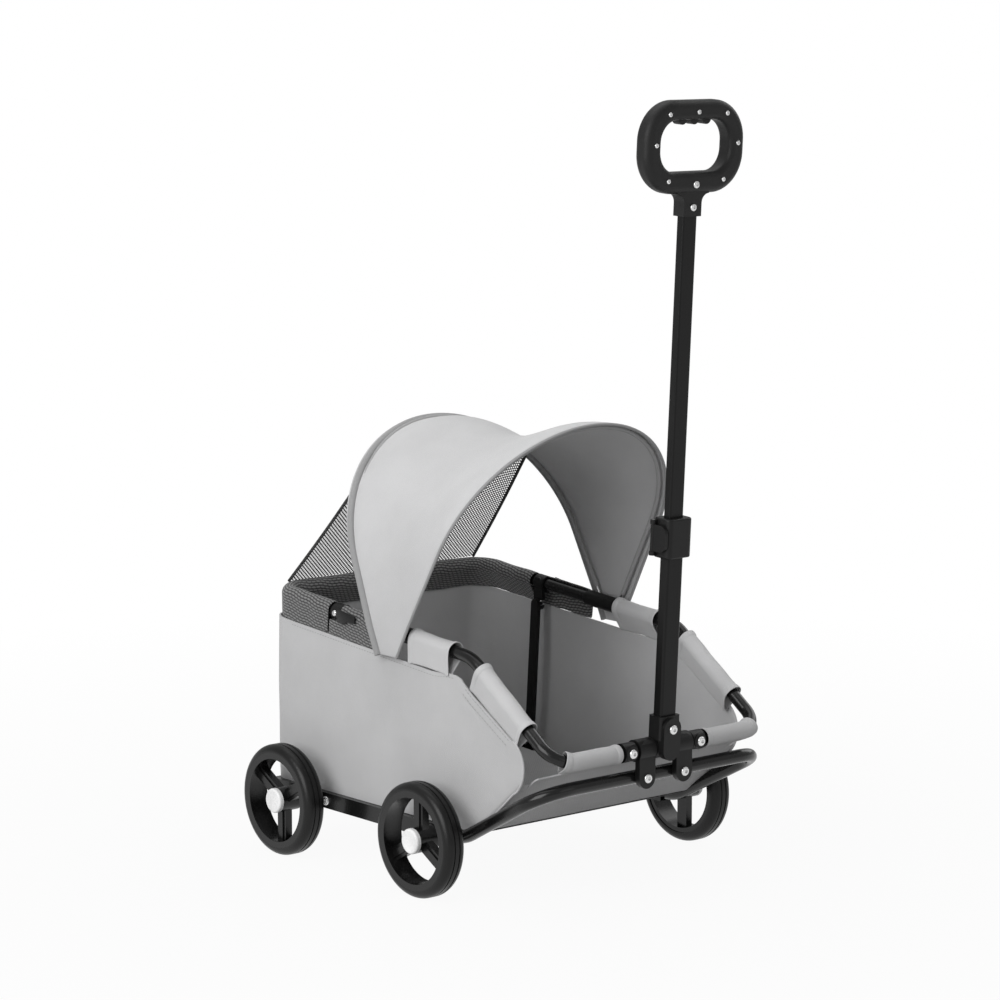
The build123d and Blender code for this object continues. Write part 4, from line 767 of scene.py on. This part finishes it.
def tub_shell():
    """The tub without thickness, open at the top."""
    outline = [place(-TUB_HALF_WIDTH, y, z) for y, z in TUB_OUTLINE]
    bm = prism(outline, (2 * TUB_HALF_WIDTH, 0, 0))
    mouth = [face for face in bm.faces if face.normal.z > 0.5]
    bmesh.ops.delete(bm, geom=mouth, context="FACES_ONLY")

    rear = place(0, TUB_REAR_Y, 0).y
    uprights, seams, across = [], [], []
    for edge in bm.edges:
        first, second = (vert.co for vert in edge.verts)
        if edge.is_boundary:
            continue
        if abs(first.x - second.x) > 1e-6:
            across.append(edge)
        elif abs(first.y - rear) < 1e-6 and abs(second.y - rear) < 1e-6:
            uprights.append(edge)
        else:
            seams.append(edge)
    bevel(bm, uprights, TUB_REAR_RADIUS, 8)
    bevel(bm, [edge for edge in seams + across if edge.is_valid], TUB_SEAM_RADIUS, 3)
    for spot, normal in tub_cuts():
        everything = bm.verts[:] + bm.edges[:] + bm.faces[:]
        bmesh.ops.bisect_plane(bm, geom=everything, plane_co=spot, plane_no=normal, dist=1e-5)
    bmesh.ops.remove_doubles(bm, verts=bm.verts, dist=2e-4)
    for vert in bm.verts:
        vert.co = swell_tub(vert.co)
    project_uv(bm)
    return bm


def upright_cutter(name, x, y, radius):
    """Upright cylinder that rounds a cut-out in the tub's front edge."""
    bm = bmesh.new()
    bmesh.ops.create_cone(
        bm, cap_ends=True, segments=48, radius1=radius, radius2=radius, depth=CUTTER_HEIGHT
    )
    bmesh.ops.translate(bm, verts=bm.verts, vec=place(x, y, TUB_NOSE[1] + CUTTER_HEIGHT / 2))
    return new_piece(name, bm, TUB_CLOTH)


def tub_cutters():
    """Shapes that cut the tub behind the pole hinge, at the lip's ends and at the side panels."""
    arc = side_corner()
    ahead = LIP[0] - CUTTER_MARGIN
    above, below = arc[0][1] + CUTTER_MARGIN, arc[-1][1] - CUTTER_MARGIN
    outline = [(ahead, above), (arc[0][0], above), *arc, (ahead, below)]
    cutters = [upright_cutter("hinge_cut", 0, HINGE_CUT_Y, HINGE_CUT_RADIUS)]
    for side, word in SIDES:
        cutters.append(upright_cutter(f"notch_{word}", side * RIM_HALF_WIDTH, LIP[0], NOTCH_RADIUS))
        inner = side * (TUB_HALF_WIDTH - SIDE_CORNER_DEPTH)
        block = prism([place(inner, y, z) for y, z in outline], (side * CUTTER_WIDTH, 0, 0))
        cutters.append(new_piece(f"corner_{word}", block, TUB_CLOTH))
    return cutters


def make_tub():
    tub = new_piece("tub", tub_shell(), TUB_CLOTH)
    thicken(tub, CLOTH, rounded=False)
    cutters = tub_cutters()
    for cutter in cutters:
        boolean = tub.modifiers.new("Corner cut", "BOOLEAN")
        boolean.operation = "DIFFERENCE"
        boolean.object = cutter
    apply_modifiers(tub)
    for cutter in cutters:
        bpy.data.objects.remove(cutter)
    sharpen(tub.data)
    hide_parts("fabric_tub")
    ride_tub(tub)


def ride_tub(piece):
    """Bakes the placement of a piece of the tub into its mesh."""
    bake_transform(piece)


def make_tub_trim():
    """Binding round the bottom edge, piping at the front seams and stitches along the top hems."""
    rear_top, _, _, nose, floor_front = TUB_OUTLINE[1:]
    inset = TUB_SEAM_RADIUS * 0.3
    side_x = TUB_HALF_WIDTH - inset
    rear_y = TUB_REAR_Y - TUB_REAR_RADIUS
    path = ((-side_x, rear_y), (-side_x, TUB_FLOOR_FRONT), (side_x, TUB_FLOOR_FRONT), (side_x, rear_y))
    line = edge_line([place(x, y, TUB_BOTTOM + inset) for x, y in path], 0.02)
    ride(tube_piece("bottom_binding", line, BINDING_RADIUS, BLACK_BINDING), "chassis", "band")

    front_lean = atan2(nose[1] - floor_front[1], floor_front[0] - nose[0])
    front_out = Vector((0, -sin(front_lean), -cos(front_lean)))
    arc = side_corner()
    rows = (
        ("slope_stitches_upper", arc[0], TUB_BEND, SLOPE_LEAN, 0.0025),
        ("slope_stitches_lower", arc[0], TUB_BEND, SLOPE_LEAN, TUB_HEM - 0.0015),
        ("side_stitches", TUB_BEND, rear_top, SIDE_LEAN, 0.004),
    )
    for side, word in SIDES:
        away = Vector((side, 0, 0))
        line = [place(side * (TUB_HALF_WIDTH - CLOTH / 2), y, z) for y, z in arc]
        ends = []
        for share in (0.06, 0.97):
            seam = place(side * TUB_HALF_WIDTH, *between(arc[-1], floor_front, share))
            ends.append(seam - (away + front_out) * TUB_SEAM_RADIUS * 0.28)
        line += edge_line(ends, 0.01)
        ride_tub(tube_piece(f"front_piping_{word}", line, PIPING_RADIUS, SLEEVE_CLOTH))
        for name, first, last, lean, depth in rows:
            points = []
            for share in spread(0.03, 0.88, 40):
                y, z = between(first, last, share)
                spot = place(side * TUB_HALF_WIDTH, y + sin(lean) * depth, z - cos(lean) * depth)
                points.append(swell_tub(spot) + away * 0.0001)
            ride_tub(stitch_row(f"{name}_{word}", points, [away] * len(points)))


make_tub()
make_tub_trim()


# Sleeves and band that hang on the rim tube
def drop_loop(drop, reach):
    """Section of a cloth loop over the rim as (across, down) points, with its hem reach to one side."""
    centre = (reach, drop - LOOP_HEM_RADIUS)
    towards = atan2(centre[1], centre[0])
    half = acos((SLEEVE_RADIUS - LOOP_HEM_RADIUS) / hypot(*centre))
    first, last = towards + half, towards - half + 2 * pi
    over = arc_points((0, 0), SLEEVE_RADIUS, first, last, 16)
    start, end = arc_points(centre, LOOP_HEM_RADIUS, first, last, 1)
    shares = spread(0, 1, HANG_STEPS)
    rising = [between(start, over[0], share) for share in shares[:-1]]
    return rising + over + [between(over[-1], end, share) for share in shares[1:]]


def skirt_line():
    """Section of a cloth strip from the top of the rim over its outer side and down."""
    over = arc_points((0, 0), SLEEVE_RADIUS, -pi / 2, 0, 8)
    hem = (SLEEVE_REACH + 0.001, SLEEVE_DROP)
    return over + [between(over[-1], hem, share) for share in spread(0, 1, HANG_STEPS)[1:]]


def run_lengths(points):
    """How far along a polyline each of its points is."""
    lengths = [0.0]
    for start, end in pairwise(points):
        lengths.append(lengths[-1] + (Vector(end) - Vector(start)).length)
    return lengths


def hang_cloth(
    name, slot, nodes, material, path, section,
    down_hint=Vector((0, 0, -1)), wrinkle=0.0008, flare=0.0, tab=None,
):
    """Cloth on the rim, swept along path and open at both ends, which are hemmed if they flare.

    Behind the y of a tab, only what hangs more than the tab's girth from the first edge is kept.
    """
    lengths, girth = run_lengths(path), run_lengths(section)
    middle = [sum(parts) / len(section) for parts in zip(*section)]

    def station(index):
        before, after = path[max(0, index - 1)], path[min(len(path) - 1, index + 1)]
        along = (after - before).normalized()
        down = (down_hint - along * down_hint.dot(along)).normalized()
        across = along.cross(down)
        to_end = min(lengths[index], lengths[-1] - lengths[index])
        ring = []
        for u, v in section:
            out = (across * (u - middle[0]) + down * (v - middle[1])).normalized()
            spot = path[index] + across * u + down * v
            fold = noise.noise(spot * 42 + Vector((3.1, 7.7, 1.3))) * wrinkle
            fold += noise.noise(Vector((lengths[index] * 130, u * 70, v * 50))) * wrinkle * 0.5
            if flare:
                fold += flare * max(0.0, 1 - to_end / SLEEVE_FLARE_REACH) ** 2
                fold += SLEEVE_HEM_RELIEF * (1 - smooth_step(SLEEVE_HEM - 0.0012, SLEEVE_HEM, to_end))
                fold -= SLEEVE_HEM_RELIEF * max(0.0, 1 - abs(to_end - SLEEVE_HEM) / 0.0018)
            ring.append(spot + out * fold)
        return ring

    def pick(values, share):
        return values[round(share * (len(values) - 1))]

    rings = [station(index) for index in range(len(path))]
    bm = grid_mesh(
        len(path) - 1, len(section) - 1, lambda along, down: pick(pick(rings, along), down),
        lambda along, down: (pick(lengths, along), pick(girth, down)),
    )
    if tab:
        layer = bm.loops.layers.uv.verify()
        cut = []
        for face in bm.faces:
            from_edge = sum(loop[layer].uv.y for loop in face.loops) / len(face.loops)
            if face.calc_center_median().y > tab[0] and from_edge < tab[1]:
                cut.append(face)
        bmesh.ops.delete(bm, geom=cut, context="FACES")
    piece = new_piece(name, bm, material)
    thicken(piece, SLEEVE_THICKNESS, offset=0.0)
    ride(piece, "basket_rim", slot, *nodes)


def hemmed(start, end):
    """A straight path with close stations near both ends, for the hems."""
    along = (end - start).normalized()
    steps = [0.0, 0.003, *(SLEEVE_HEM + step for step in (-0.002, -0.001, 0.0, 0.001, 0.002))]
    head = [start + along * step for step in steps]
    tail = [end - along * step for step in reversed(steps)]
    return head + edge_line([head[-1], tail[0]], STATION_SPACING)[1:-1] + tail


def rim_spot(side, y):
    """A point of the rim's centre line along one side of the tub."""
    return place(side * RIM_HALF_WIDTH, y, rim_side_z(y))


def rim_corner(side, first, last):
    """Points of a rear corner of the rim between two angles."""
    centre = (side * (RIM_HALF_WIDTH - RIM_REAR_RADIUS), RIM_REAR[0] - RIM_REAR_RADIUS)
    points = arc_points(centre, RIM_REAR_RADIUS, radians(first), radians(last), 8)
    return [place(x, y, min(RIM_REAR[1], rim_side_z(y))) for x, y in points]


def make_sleeves():
    square = Vector((0, sin(SLOPE_LEAN), -cos(SLOPE_LEAN)))
    downhill = Vector((0, -cos(SLOPE_LEAN), -sin(SLOPE_LEAN)))
    for side, word in SIDES:
        hang_cloth(
            f"cuff_{word}_cloth", "sleeve_cloth", [f"cuff_{word}"], SLEEVE_CLOTH,
            hemmed(*(rim_spot(side, y) for y in CUFF_ENDS_Y)),
            drop_loop(SLEEVE_DROP, side * SLEEVE_REACH), flare=0.0016,
        )
        top = place(side * RIM_HALF_WIDTH, *RIM_BEND) + downhill * SLOPE_SLEEVE_START
        hang_cloth(
            f"slope_{word}_cloth", "sleeve_cloth", [f"slope_sleeve_{word}"], SLEEVE_CLOTH,
            hemmed(top, top + downhill * SLOPE_SLEEVE_LENGTH),
            drop_loop(SLEEVE_DROP, side * SLOPE_SLEEVE_REACH), flare=0.0012,
        )
        inner = place(side * LIP_SLEEVE_INNER_X, *LIP)
        outer = place(side * (RIM_HALF_WIDTH - LIP_CORNER_RADIUS), *LIP)
        path = hemmed(inner, outer)[:-1]
        for turn in spread(0, radians(LIP_SLEEVE_TURN), 12):
            aside, back = LIP_CORNER_RADIUS * sin(turn), LIP_CORNER_RADIUS * (1 - cos(turn))
            path.append(outer + Vector((side * aside, 0, 0)) - downhill * back)
        hang_cloth(
            f"lip_{word}_cloth", "sleeve_cloth", [f"lip_sleeve_{word}"], LIP_CLOTH,
            path, drop_loop(LIP_SLEEVE_DROP, 0.0), down_hint=square, wrinkle=0.0006, flare=0.0008,
        )


def make_rear_band():
    """Ribbed band round the rear of the rim, and an open skirt along each side."""
    left_bend, right_bend = rim_corner(-1, 180, 90), rim_corner(1, 90, 0)
    path = edge_line([rim_spot(-1, BAND_FRONT_Y), *left_bend], STATION_SPACING)
    path += edge_line([left_bend[-1], right_bend[0]], 2 * STATION_SPACING)[1:-1]
    path += edge_line([*right_bend, rim_spot(1, BAND_FRONT_Y)], STATION_SPACING)
    section = drop_loop(SLEEVE_DROP, SLEEVE_REACH)
    hang_cloth("rear_band_tape", "band", ["rear_band"], BAND_TAPE, path, section)
    tab = (place(0, SKIRT_REAR_Y, 0).y, SLEEVE_RADIUS * pi / 2 + SKIRT_TAB_DROP)
    for side, word in SIDES:
        ends = [rim_spot(side, y) for y in (SKIRT_FRONT_Y, SKIRT_REAR_Y, SKIRT_TAB_REAR_Y)]
        if side > 0:
            ends.reverse()
        path = edge_line(ends, STATION_SPACING)
        hang_cloth(f"side_skirt_{word}", "band", [], BAND_TAPE, path, skirt_line(), tab=tab)


def make_clip_arms():
    """Flat arm of each rim clip, over the skirt."""
    outline = [
        (CLIP_ARM_REAR_Y, 0.0070),
        (CLIP_ARM_REAR_Y, -0.0085),
        (CLIP_ARM_REAR_Y - 0.012, -0.0085),
        (CLIP_ARM_REAR_Y - 0.018, -0.0045),
        (CLIP_ARM_FRONT_Y, -0.0035),
        (CLIP_ARM_FRONT_Y, 0.0045),
    ]
    for side, word in SIDES:
        x = side * (RIM_HALF_WIDTH + CLIP_ARM_REACH)
        corners = [place(x, y, rim_side_z(y) + rise) for y, rise in outline]
        bm = prism(corners, (side * CLIP_ARM_THICKNESS, 0, 0))
        bevel(bm, bm.edges[:], CLIP_ARM_EDGE, 2)
        ride(new_piece(f"clip_arm_{word}", bm, BRACKET_PLASTIC), "basket_rim", "bracket")


make_sleeves()
make_rear_band()
make_clip_arms()


# Hood: one sheet drawn over two bows, dipping between them
def arch_shoulder(foot, radius, top):
    """Where a straight leg from a foot point runs smoothly into a round arch."""
    centre = top - radius
    across, rise = foot[0], foot[1] - centre
    angle = atan2(rise, across) + acos(radius / hypot(across, rise))
    return angle, radius * cos(angle), centre + radius * sin(angle)


def bow_spot(bow, x, up, behind=0.0):
    """A point in the plane of a bow, up from its foot; a bow is its foot's y, lean and height."""
    y, lean, _ = bow
    ahead, rise = sin(radians(lean)), cos(radians(lean))
    return place(x, y - ahead * up + rise * behind, rim_side_z(y) + rise * up + ahead * behind)


def hood_edges():
    """Lean from the fan line and apex height of the hood's rear and front edges."""
    edges = []
    for bow, overhang in ((REAR_BOW, HOOD_OVERHANG), (FRONT_BOW, -HOOD_OVERHANG)):
        apex = bow_spot(bow, 0, bow[2])
        ahead = HOOD_FAN[0] - (apex.y - WHEELBASE_MIDDLE) - overhang
        edges.append((atan2(ahead, apex.z - HOOD_FAN[1]), apex.z))
    return edges


def hood_section(depth):
    """Lean, bottom, waist and top of the hood's arch at a share of the way to its front edge."""
    (rear_lean, rear_z), (front_lean, front_z) = hood_edges()
    lean = rear_lean + (front_lean - rear_lean) * depth
    dip = HOOD_SAG * max(0.0, 1 - ((depth - 0.5) / (0.5 - HOOD_FLAT)) ** 2)
    apex = rear_z + (front_z - rear_z) * depth - dip
    bottom, waist, top = ((z - HOOD_FAN[1]) / cos(lean) for z in (HOOD_BOTTOM, HOOD_WAIST, apex))
    tuck = HOOD_TUCK * (1 - smooth_step(0.0, 0.15, depth))
    return lean, bottom, waist, top + HOOD_CROWN - tuck


def hood_point(round_share, depth, lift=0.0):
    """A point of the hood: round_share runs from the left foot over to the right one."""
    lean, bottom, waist, top = hood_section(depth)
    radius = BOW_ARCH_RADIUS + HOOD_EASE + HOOD_CROWN
    angle, shoulder_x, shoulder_y = arch_shoulder((HOOD_HALF_WIDTH, waist), radius, top)
    leg = hypot(HOOD_HALF_WIDTH - shoulder_x, shoulder_y - waist)
    lengths = (waist - bottom, leg, radius * (pi / 2 - angle))
    side = -1 if round_share < 0.5 else 1
    reach = (0.5 - abs(round_share - 0.5)) * 2 * sum(lengths)
    if reach < lengths[0]:
        x, up, out = HOOD_HALF_WIDTH, bottom + reach, 0.0
    elif reach < lengths[0] + leg:
        share = (reach - lengths[0]) / leg
        x, up = between((HOOD_HALF_WIDTH, waist), (shoulder_x, shoulder_y), share)
        out = angle
    else:
        out = angle + (reach - lengths[0] - leg) / radius
        x, up = radius * cos(out), top - radius + radius * sin(out)
    x += lift * cos(out)
    up += lift * sin(out)
    return place(side * x, HOOD_FAN[0] - sin(lean) * up, HOOD_FAN[1] + cos(lean) * up)


def hood_out(round_share, depth):
    return (hood_point(round_share, depth, 0.01) - hood_point(round_share, depth)).normalized()


def hood_cloth_point(share, depth):
    """A point of the hood with the slight ripples of slack cloth."""
    spot = hood_point(share, depth)
    slack = sin(pi * depth) * sin(pi * share)
    ripple = noise.noise(spot * 11) * HOOD_RIPPLE + noise.noise(spot * 30) * HOOD_FINE_RIPPLE
    return spot + hood_out(share, depth) * (ripple * slack)


def hood_line(depth, lift=0.0):
    """Points across the hood from foot to foot, and the cloth's outer side at each."""
    shares = spread(0, 1, 96)
    points = [hood_point(share, depth, lift) for share in shares]
    return points, [hood_out(share, depth) for share in shares]


def make_hood():
    middle, _ = hood_line(0.5)
    girth = run_lengths(middle)[-1]
    rear, front = hood_point(0.5, 0.0), hood_point(0.5, 1.0)
    run = (rear - front).length
    bm = grid_mesh(84, 26, hood_cloth_point, lambda across, along: (girth * across, run * along))
    hood = new_piece("hood_cloth", bm, HOOD_CLOTH_PAINTED_LIGHTER)
    thicken(hood, HOOD_THICKNESS)
    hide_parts("hood_sheet")
    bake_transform(hood)


def bow_line(bow):
    """Centre line of a bow, from a little above its left foot to the same height on the right."""
    _, _, height = bow
    angle, shoulder_x, shoulder_y = arch_shoulder((BOW_X, 0), BOW_ARCH_RADIUS, height)
    foot_x = BOW_X + (shoulder_x - BOW_X) * BOW_CHANNEL_START / shoulder_y
    arch = arc_points((0, height - BOW_ARCH_RADIUS), BOW_ARCH_RADIUS, angle, pi - angle, 48)
    points = [(foot_x, BOW_CHANNEL_START), *arch, (-foot_x, BOW_CHANNEL_START)]
    return [bow_spot(bow, -x, up) for x, up in points]


def make_hood_edges():
    """Channels that hide the bows, a rolled edge at the rear, a bound hem at the front, and stitches."""
    for word, bow, body in (("rear", REAR_BOW, "basket_rim"), ("front", FRONT_BOW, "hood_front")):
        line = edge_line(bow_line(bow), 0.02)
        channel = tube_piece(f"{word}_bow_channel", line, BOW_CHANNEL_RADIUS, BINDING_CLOTH)
        ride(channel, body, "hood_cloth")
    for name, depth, lift, radius, material, body in (
        ("hood_rear_roll", -0.006, 0.0014, 0.0044, HOOD_ROLL_CLOTH, "basket_rim"),
        ("hood_rear_cord", -0.032, 0.0018, 0.0014, SLEEVE_CLOTH, "basket_rim"),
        ("hood_front_hem", 1.004, -0.0006, 0.0017, HOOD_ROLL_CLOTH, "hood_front"),
    ):
        line, _ = hood_line(depth, lift)
        ride(tube_piece(name, line, radius, material), body, "hood_cloth")
    for name, depth, body in (
        ("hood_rear_stitches", 0.050, "basket_rim"),
        ("hood_front_stitches", 0.955, "hood_front"),
        ("hood_front_stitches_inner", 0.925, "hood_front"),
    ):
        line, outward = hood_line(depth, 0.0003)
        ride(stitch_row(name, line, outward), body, "hood_cloth")


make_hood()
make_hood_edges()


# Net between the rear of the rim and the rear bow
def net_point(share, rise):
    """A point of the net: share runs across it, rise from the rim up to the bow."""
    angle = radians(NET_ARC_START + (180 - 2 * NET_ARC_START) * (1 - share))
    up = REAR_BOW[2] - BOW_ARCH_RADIUS + BOW_ARCH_RADIUS * sin(angle)
    top = bow_spot(REAR_BOW, BOW_ARCH_RADIUS * cos(angle), up, NET_BEHIND_BOW)
    foot = place((share * 2 - 1) * NET_HALF_WIDTH, RIM_REAR[0], RIM_REAR[1] + RIM_RADIUS + NET_FOOT_RISE)
    slack = sin(pi * rise) * (0.25 + 0.75 * sin(pi * share))
    return foot.lerp(top, rise) + Vector((0, -0.6, -0.8)) * (NET_SLACK * slack)


def make_net_sheet():
    width, height = 2 * NET_HALF_WIDTH, (net_point(0.5, 0) - net_point(0.5, 1)).length
    bm = grid_mesh(40, 24, net_point, lambda across, up: (width * (across - 0.5), height * (up - 0.5)))
    net = new_piece("rear_net_mesh", bm, NET)
    ride(net, "basket_rim", "net", "rear_net")
    for share, word in ((0.0, "left"), (1.0, "right")):
        line = [net_point(share, up) for up in spread(0, 1, 30)]
        hem = tube_piece(f"net_hem_{word}", line, NET_HEM_RADIUS, BLACK_BINDING)
        ride(hem, "basket_rim", "net")


make_net_sheet()


# Mat
def inflate(piece):
    """Blows the piece up as cloth, with a limit to how far each point moves."""
    cloth = piece.modifiers.new("Stuffing", "CLOTH")
    cloth.settings.use_pressure = True
    cloth.settings.uniform_pressure_force = MAT_PRESSURE
    cloth.settings.effector_weights.gravity = 0.0
    cloth.point_cache.frame_end = MAT_FRAMES
    scene = bpy.context.scene
    for step in range(1, MAT_FRAMES + 1):
        scene.frame_set(step)
    depsgraph = bpy.context.evaluated_depsgraph_get()
    puffed = [vert.co.copy() for vert in piece.evaluated_get(depsgraph).data.vertices]
    piece.modifiers.remove(cloth)
    scene.frame_set(1)
    for vert, end in zip(piece.data.vertices, puffed):
        shift = end - vert.co
        if shift.length > MAT_MOST_SHIFT:
            shift *= MAT_MOST_SHIFT / shift.length
        vert.co += shift


def make_mat():
    bm = bmesh.new()
    bmesh.ops.create_cube(bm, size=1.0)
    width, length = 2 * (MAT_HALF_WIDTH - MAT_SWELL), MAT_REAR_Y - MAT_FRONT_Y - 2 * MAT_SWELL
    height = MAT_THICKNESS - MAT_SWELL
    bmesh.ops.scale(bm, vec=(width, length, height), verts=bm.verts)
    uprights = [edge for edge in bm.edges if abs(edge.verts[0].co.z - edge.verts[1].co.z) > 1e-6]
    bevel(bm, uprights, MAT_CORNER, 8)
    middle = place(0, (MAT_FRONT_Y + MAT_REAR_Y) / 2, MAT_BOTTOM + height / 2)
    bmesh.ops.translate(bm, verts=bm.verts, vec=middle)
    mat = new_piece("mat_pad", bm, MAT_CLOTH)
    remesh = mat.modifiers.new("Even mesh", "REMESH")
    remesh.mode = "VOXEL"
    remesh.voxel_size = MAT_VOXEL
    apply_modifiers(mat)
    inflate(mat)
    bm = bmesh.new()
    bm.from_mesh(mat.data)
    for vert in bm.verts:
        vert.co.z = min(MAT_BOTTOM + MAT_THICKNESS + MAT_CROWN, max(MAT_BOTTOM, vert.co.z))
    project_uv(bm)
    fill_mesh(mat.data, bm, MAT_CLOTH)
    ride(mat, "chassis", "mat_cloth", "floor_mat")


make_mat()


# Finishes of the rigid parts
def dress(material, *nodes):
    for node in nodes:
        paint_mesh(frame["nodes"][node].data, material)


for corner in ("fl", "fr", "rl", "rr"):
    dress(TYRE_RUBBER, f"tyre_{corner}")
    dress(WHEEL_PLASTIC, f"wheel_{corner}")
    dress(CAP_PLASTIC, f"cap_{corner}")
dress(TUBE_PAINT, "rail_left", "rail_right", "bumper_tube", "rim_tube", "crossbars")
dress(POLE_PAINT, "pole_lower", "pole_upper")
dress(STEEL, "axles", "axle_nuts", "rim_coupler", "lever_pin", "strut_rivets", "bow_rear", "bow_front")
dress(SCREW_PLATE, "chassis_screws", "lip_collar_screws", "rim_clip_screws", "pole_screw",
      "grip_screws", "grip_bolts")
dress(BRACKET_PLASTIC, "rail_plugs", "axle_spacers", "hinge_plate_left", "hinge_plate_right",
      "lip_collars", "rim_clip_left", "rim_clip_right", "bow_brackets", "pole_knuckle", "clamp_collar",
      "clamp_lever", "strut_feet", "strut_left", "strut_right")
dress(GRIP_PLASTIC, "grip_front", "grip_rear")
dress(HARDBOARD, "floor_board")


# Floor, light and camera
def make_floor():
    """Matte floor that shows almost white, and whiter with distance, to all but diffuse rays."""
    bm = bmesh.new()
    bmesh.ops.create_grid(bm, x_segments=1, y_segments=1, size=8.0)
    material = bpy.data.materials.new("white_floor")
    material.use_nodes = True
    nodes = Nodes(material.node_tree)
    nodes.tree.nodes.remove(nodes.tree.nodes["Principled BSDF"])
    matte = nodes.add("BsdfDiffuse", Color=(0.45, 0.45, 0.45, 1.0))
    glow = nodes.add("Emission", Strength=1.0)
    reach = nodes.add("VectorMath")
    reach.operation = "LENGTH"
    nodes.feed(reach.inputs[0], nodes.add("TexCoord").outputs["Object"])
    fade = nodes.math("MULTIPLY", nodes.math("SUBTRACT", reach.outputs["Value"], 0.35), 0.6, clamp=True)
    white = nodes.math("MULTIPLY_ADD", fade, 0.08, 0.94, clamp=True)
    path = nodes.add("LightPath").outputs
    seen = nodes.math("ADD", path["Is Camera Ray"], path["Is Glossy Ray"], clamp=True)
    seen = nodes.math("ADD", seen, path["Is Transmission Ray"], clamp=True)
    nodes.mix(nodes.math("MULTIPLY", seen, white), matte, glow, "Material Output")
    floor_piece = new_piece("floor", bm, material)


def make_world():
    """Even white light all round, with a pure white backdrop behind the camera's view."""
    world = bpy.data.worlds.new("white_room")
    bpy.context.scene.world = world
    world.use_nodes = True
    nodes = Nodes(world.node_tree)
    room = nodes.tree.nodes["Background"]
    nodes.feed(room.inputs["Color"], WHITE)
    nodes.feed(room.inputs["Strength"], 0.50)
    backdrop = nodes.add("Background", Color=WHITE, Strength=1.0)
    nodes.mix(nodes.add("LightPath").outputs["Is Camera Ray"], room, backdrop, "World Output")


def make_lamp(name, spot, target, size, power):
    lamp = bpy.data.lights.new(name, "AREA")
    lamp.shape = "RECTANGLE"
    lamp.size, lamp.size_y = size
    lamp.energy = power
    holder = new_object(name, lamp)
    holder.location = spot
    holder.rotation_euler = (Vector(target) - Vector(spot)).to_track_quat("-Z", "Y").to_euler()


def make_camera():
    azimuth, elevation = radians(CAMERA_AZIMUTH), radians(CAMERA_ELEVATION)
    back = Vector((sin(azimuth) * cos(elevation), -cos(azimuth) * cos(elevation), sin(elevation)))
    camera = bpy.data.cameras.new("camera")
    camera.lens = CAMERA_LENS
    camera.sensor_width = 36.0
    camera.clip_end = 50.0
    holder = new_object("camera", camera)
    holder.location = place(*CAMERA_TARGET) + back * CAMERA_DISTANCE
    holder.rotation_euler = (-back).to_track_quat("-Z", "Y").to_euler()
    bpy.context.scene.camera = holder


make_floor()
make_world()
make_lamp("key_softbox", (-3.0, -0.6, 1.7), (0, 0, 0.3), (2.4, 2.4), 80)
make_lamp("front_softbox", (0.6, -3.4, 1.5), (0, 0, 0.3), (2.4, 1.6), 7)
make_lamp("right_softbox", (2.6, 0.2, 1.8), (0, 0, 0.4), (1.6, 2.0), 16)
make_lamp("top_softbox", (0.0, 0.6, 3.0), (0, 0, 0.3), (2.6, 2.6), 22)
make_camera()
bpy.context.scene.view_settings.view_transform = "Standard"
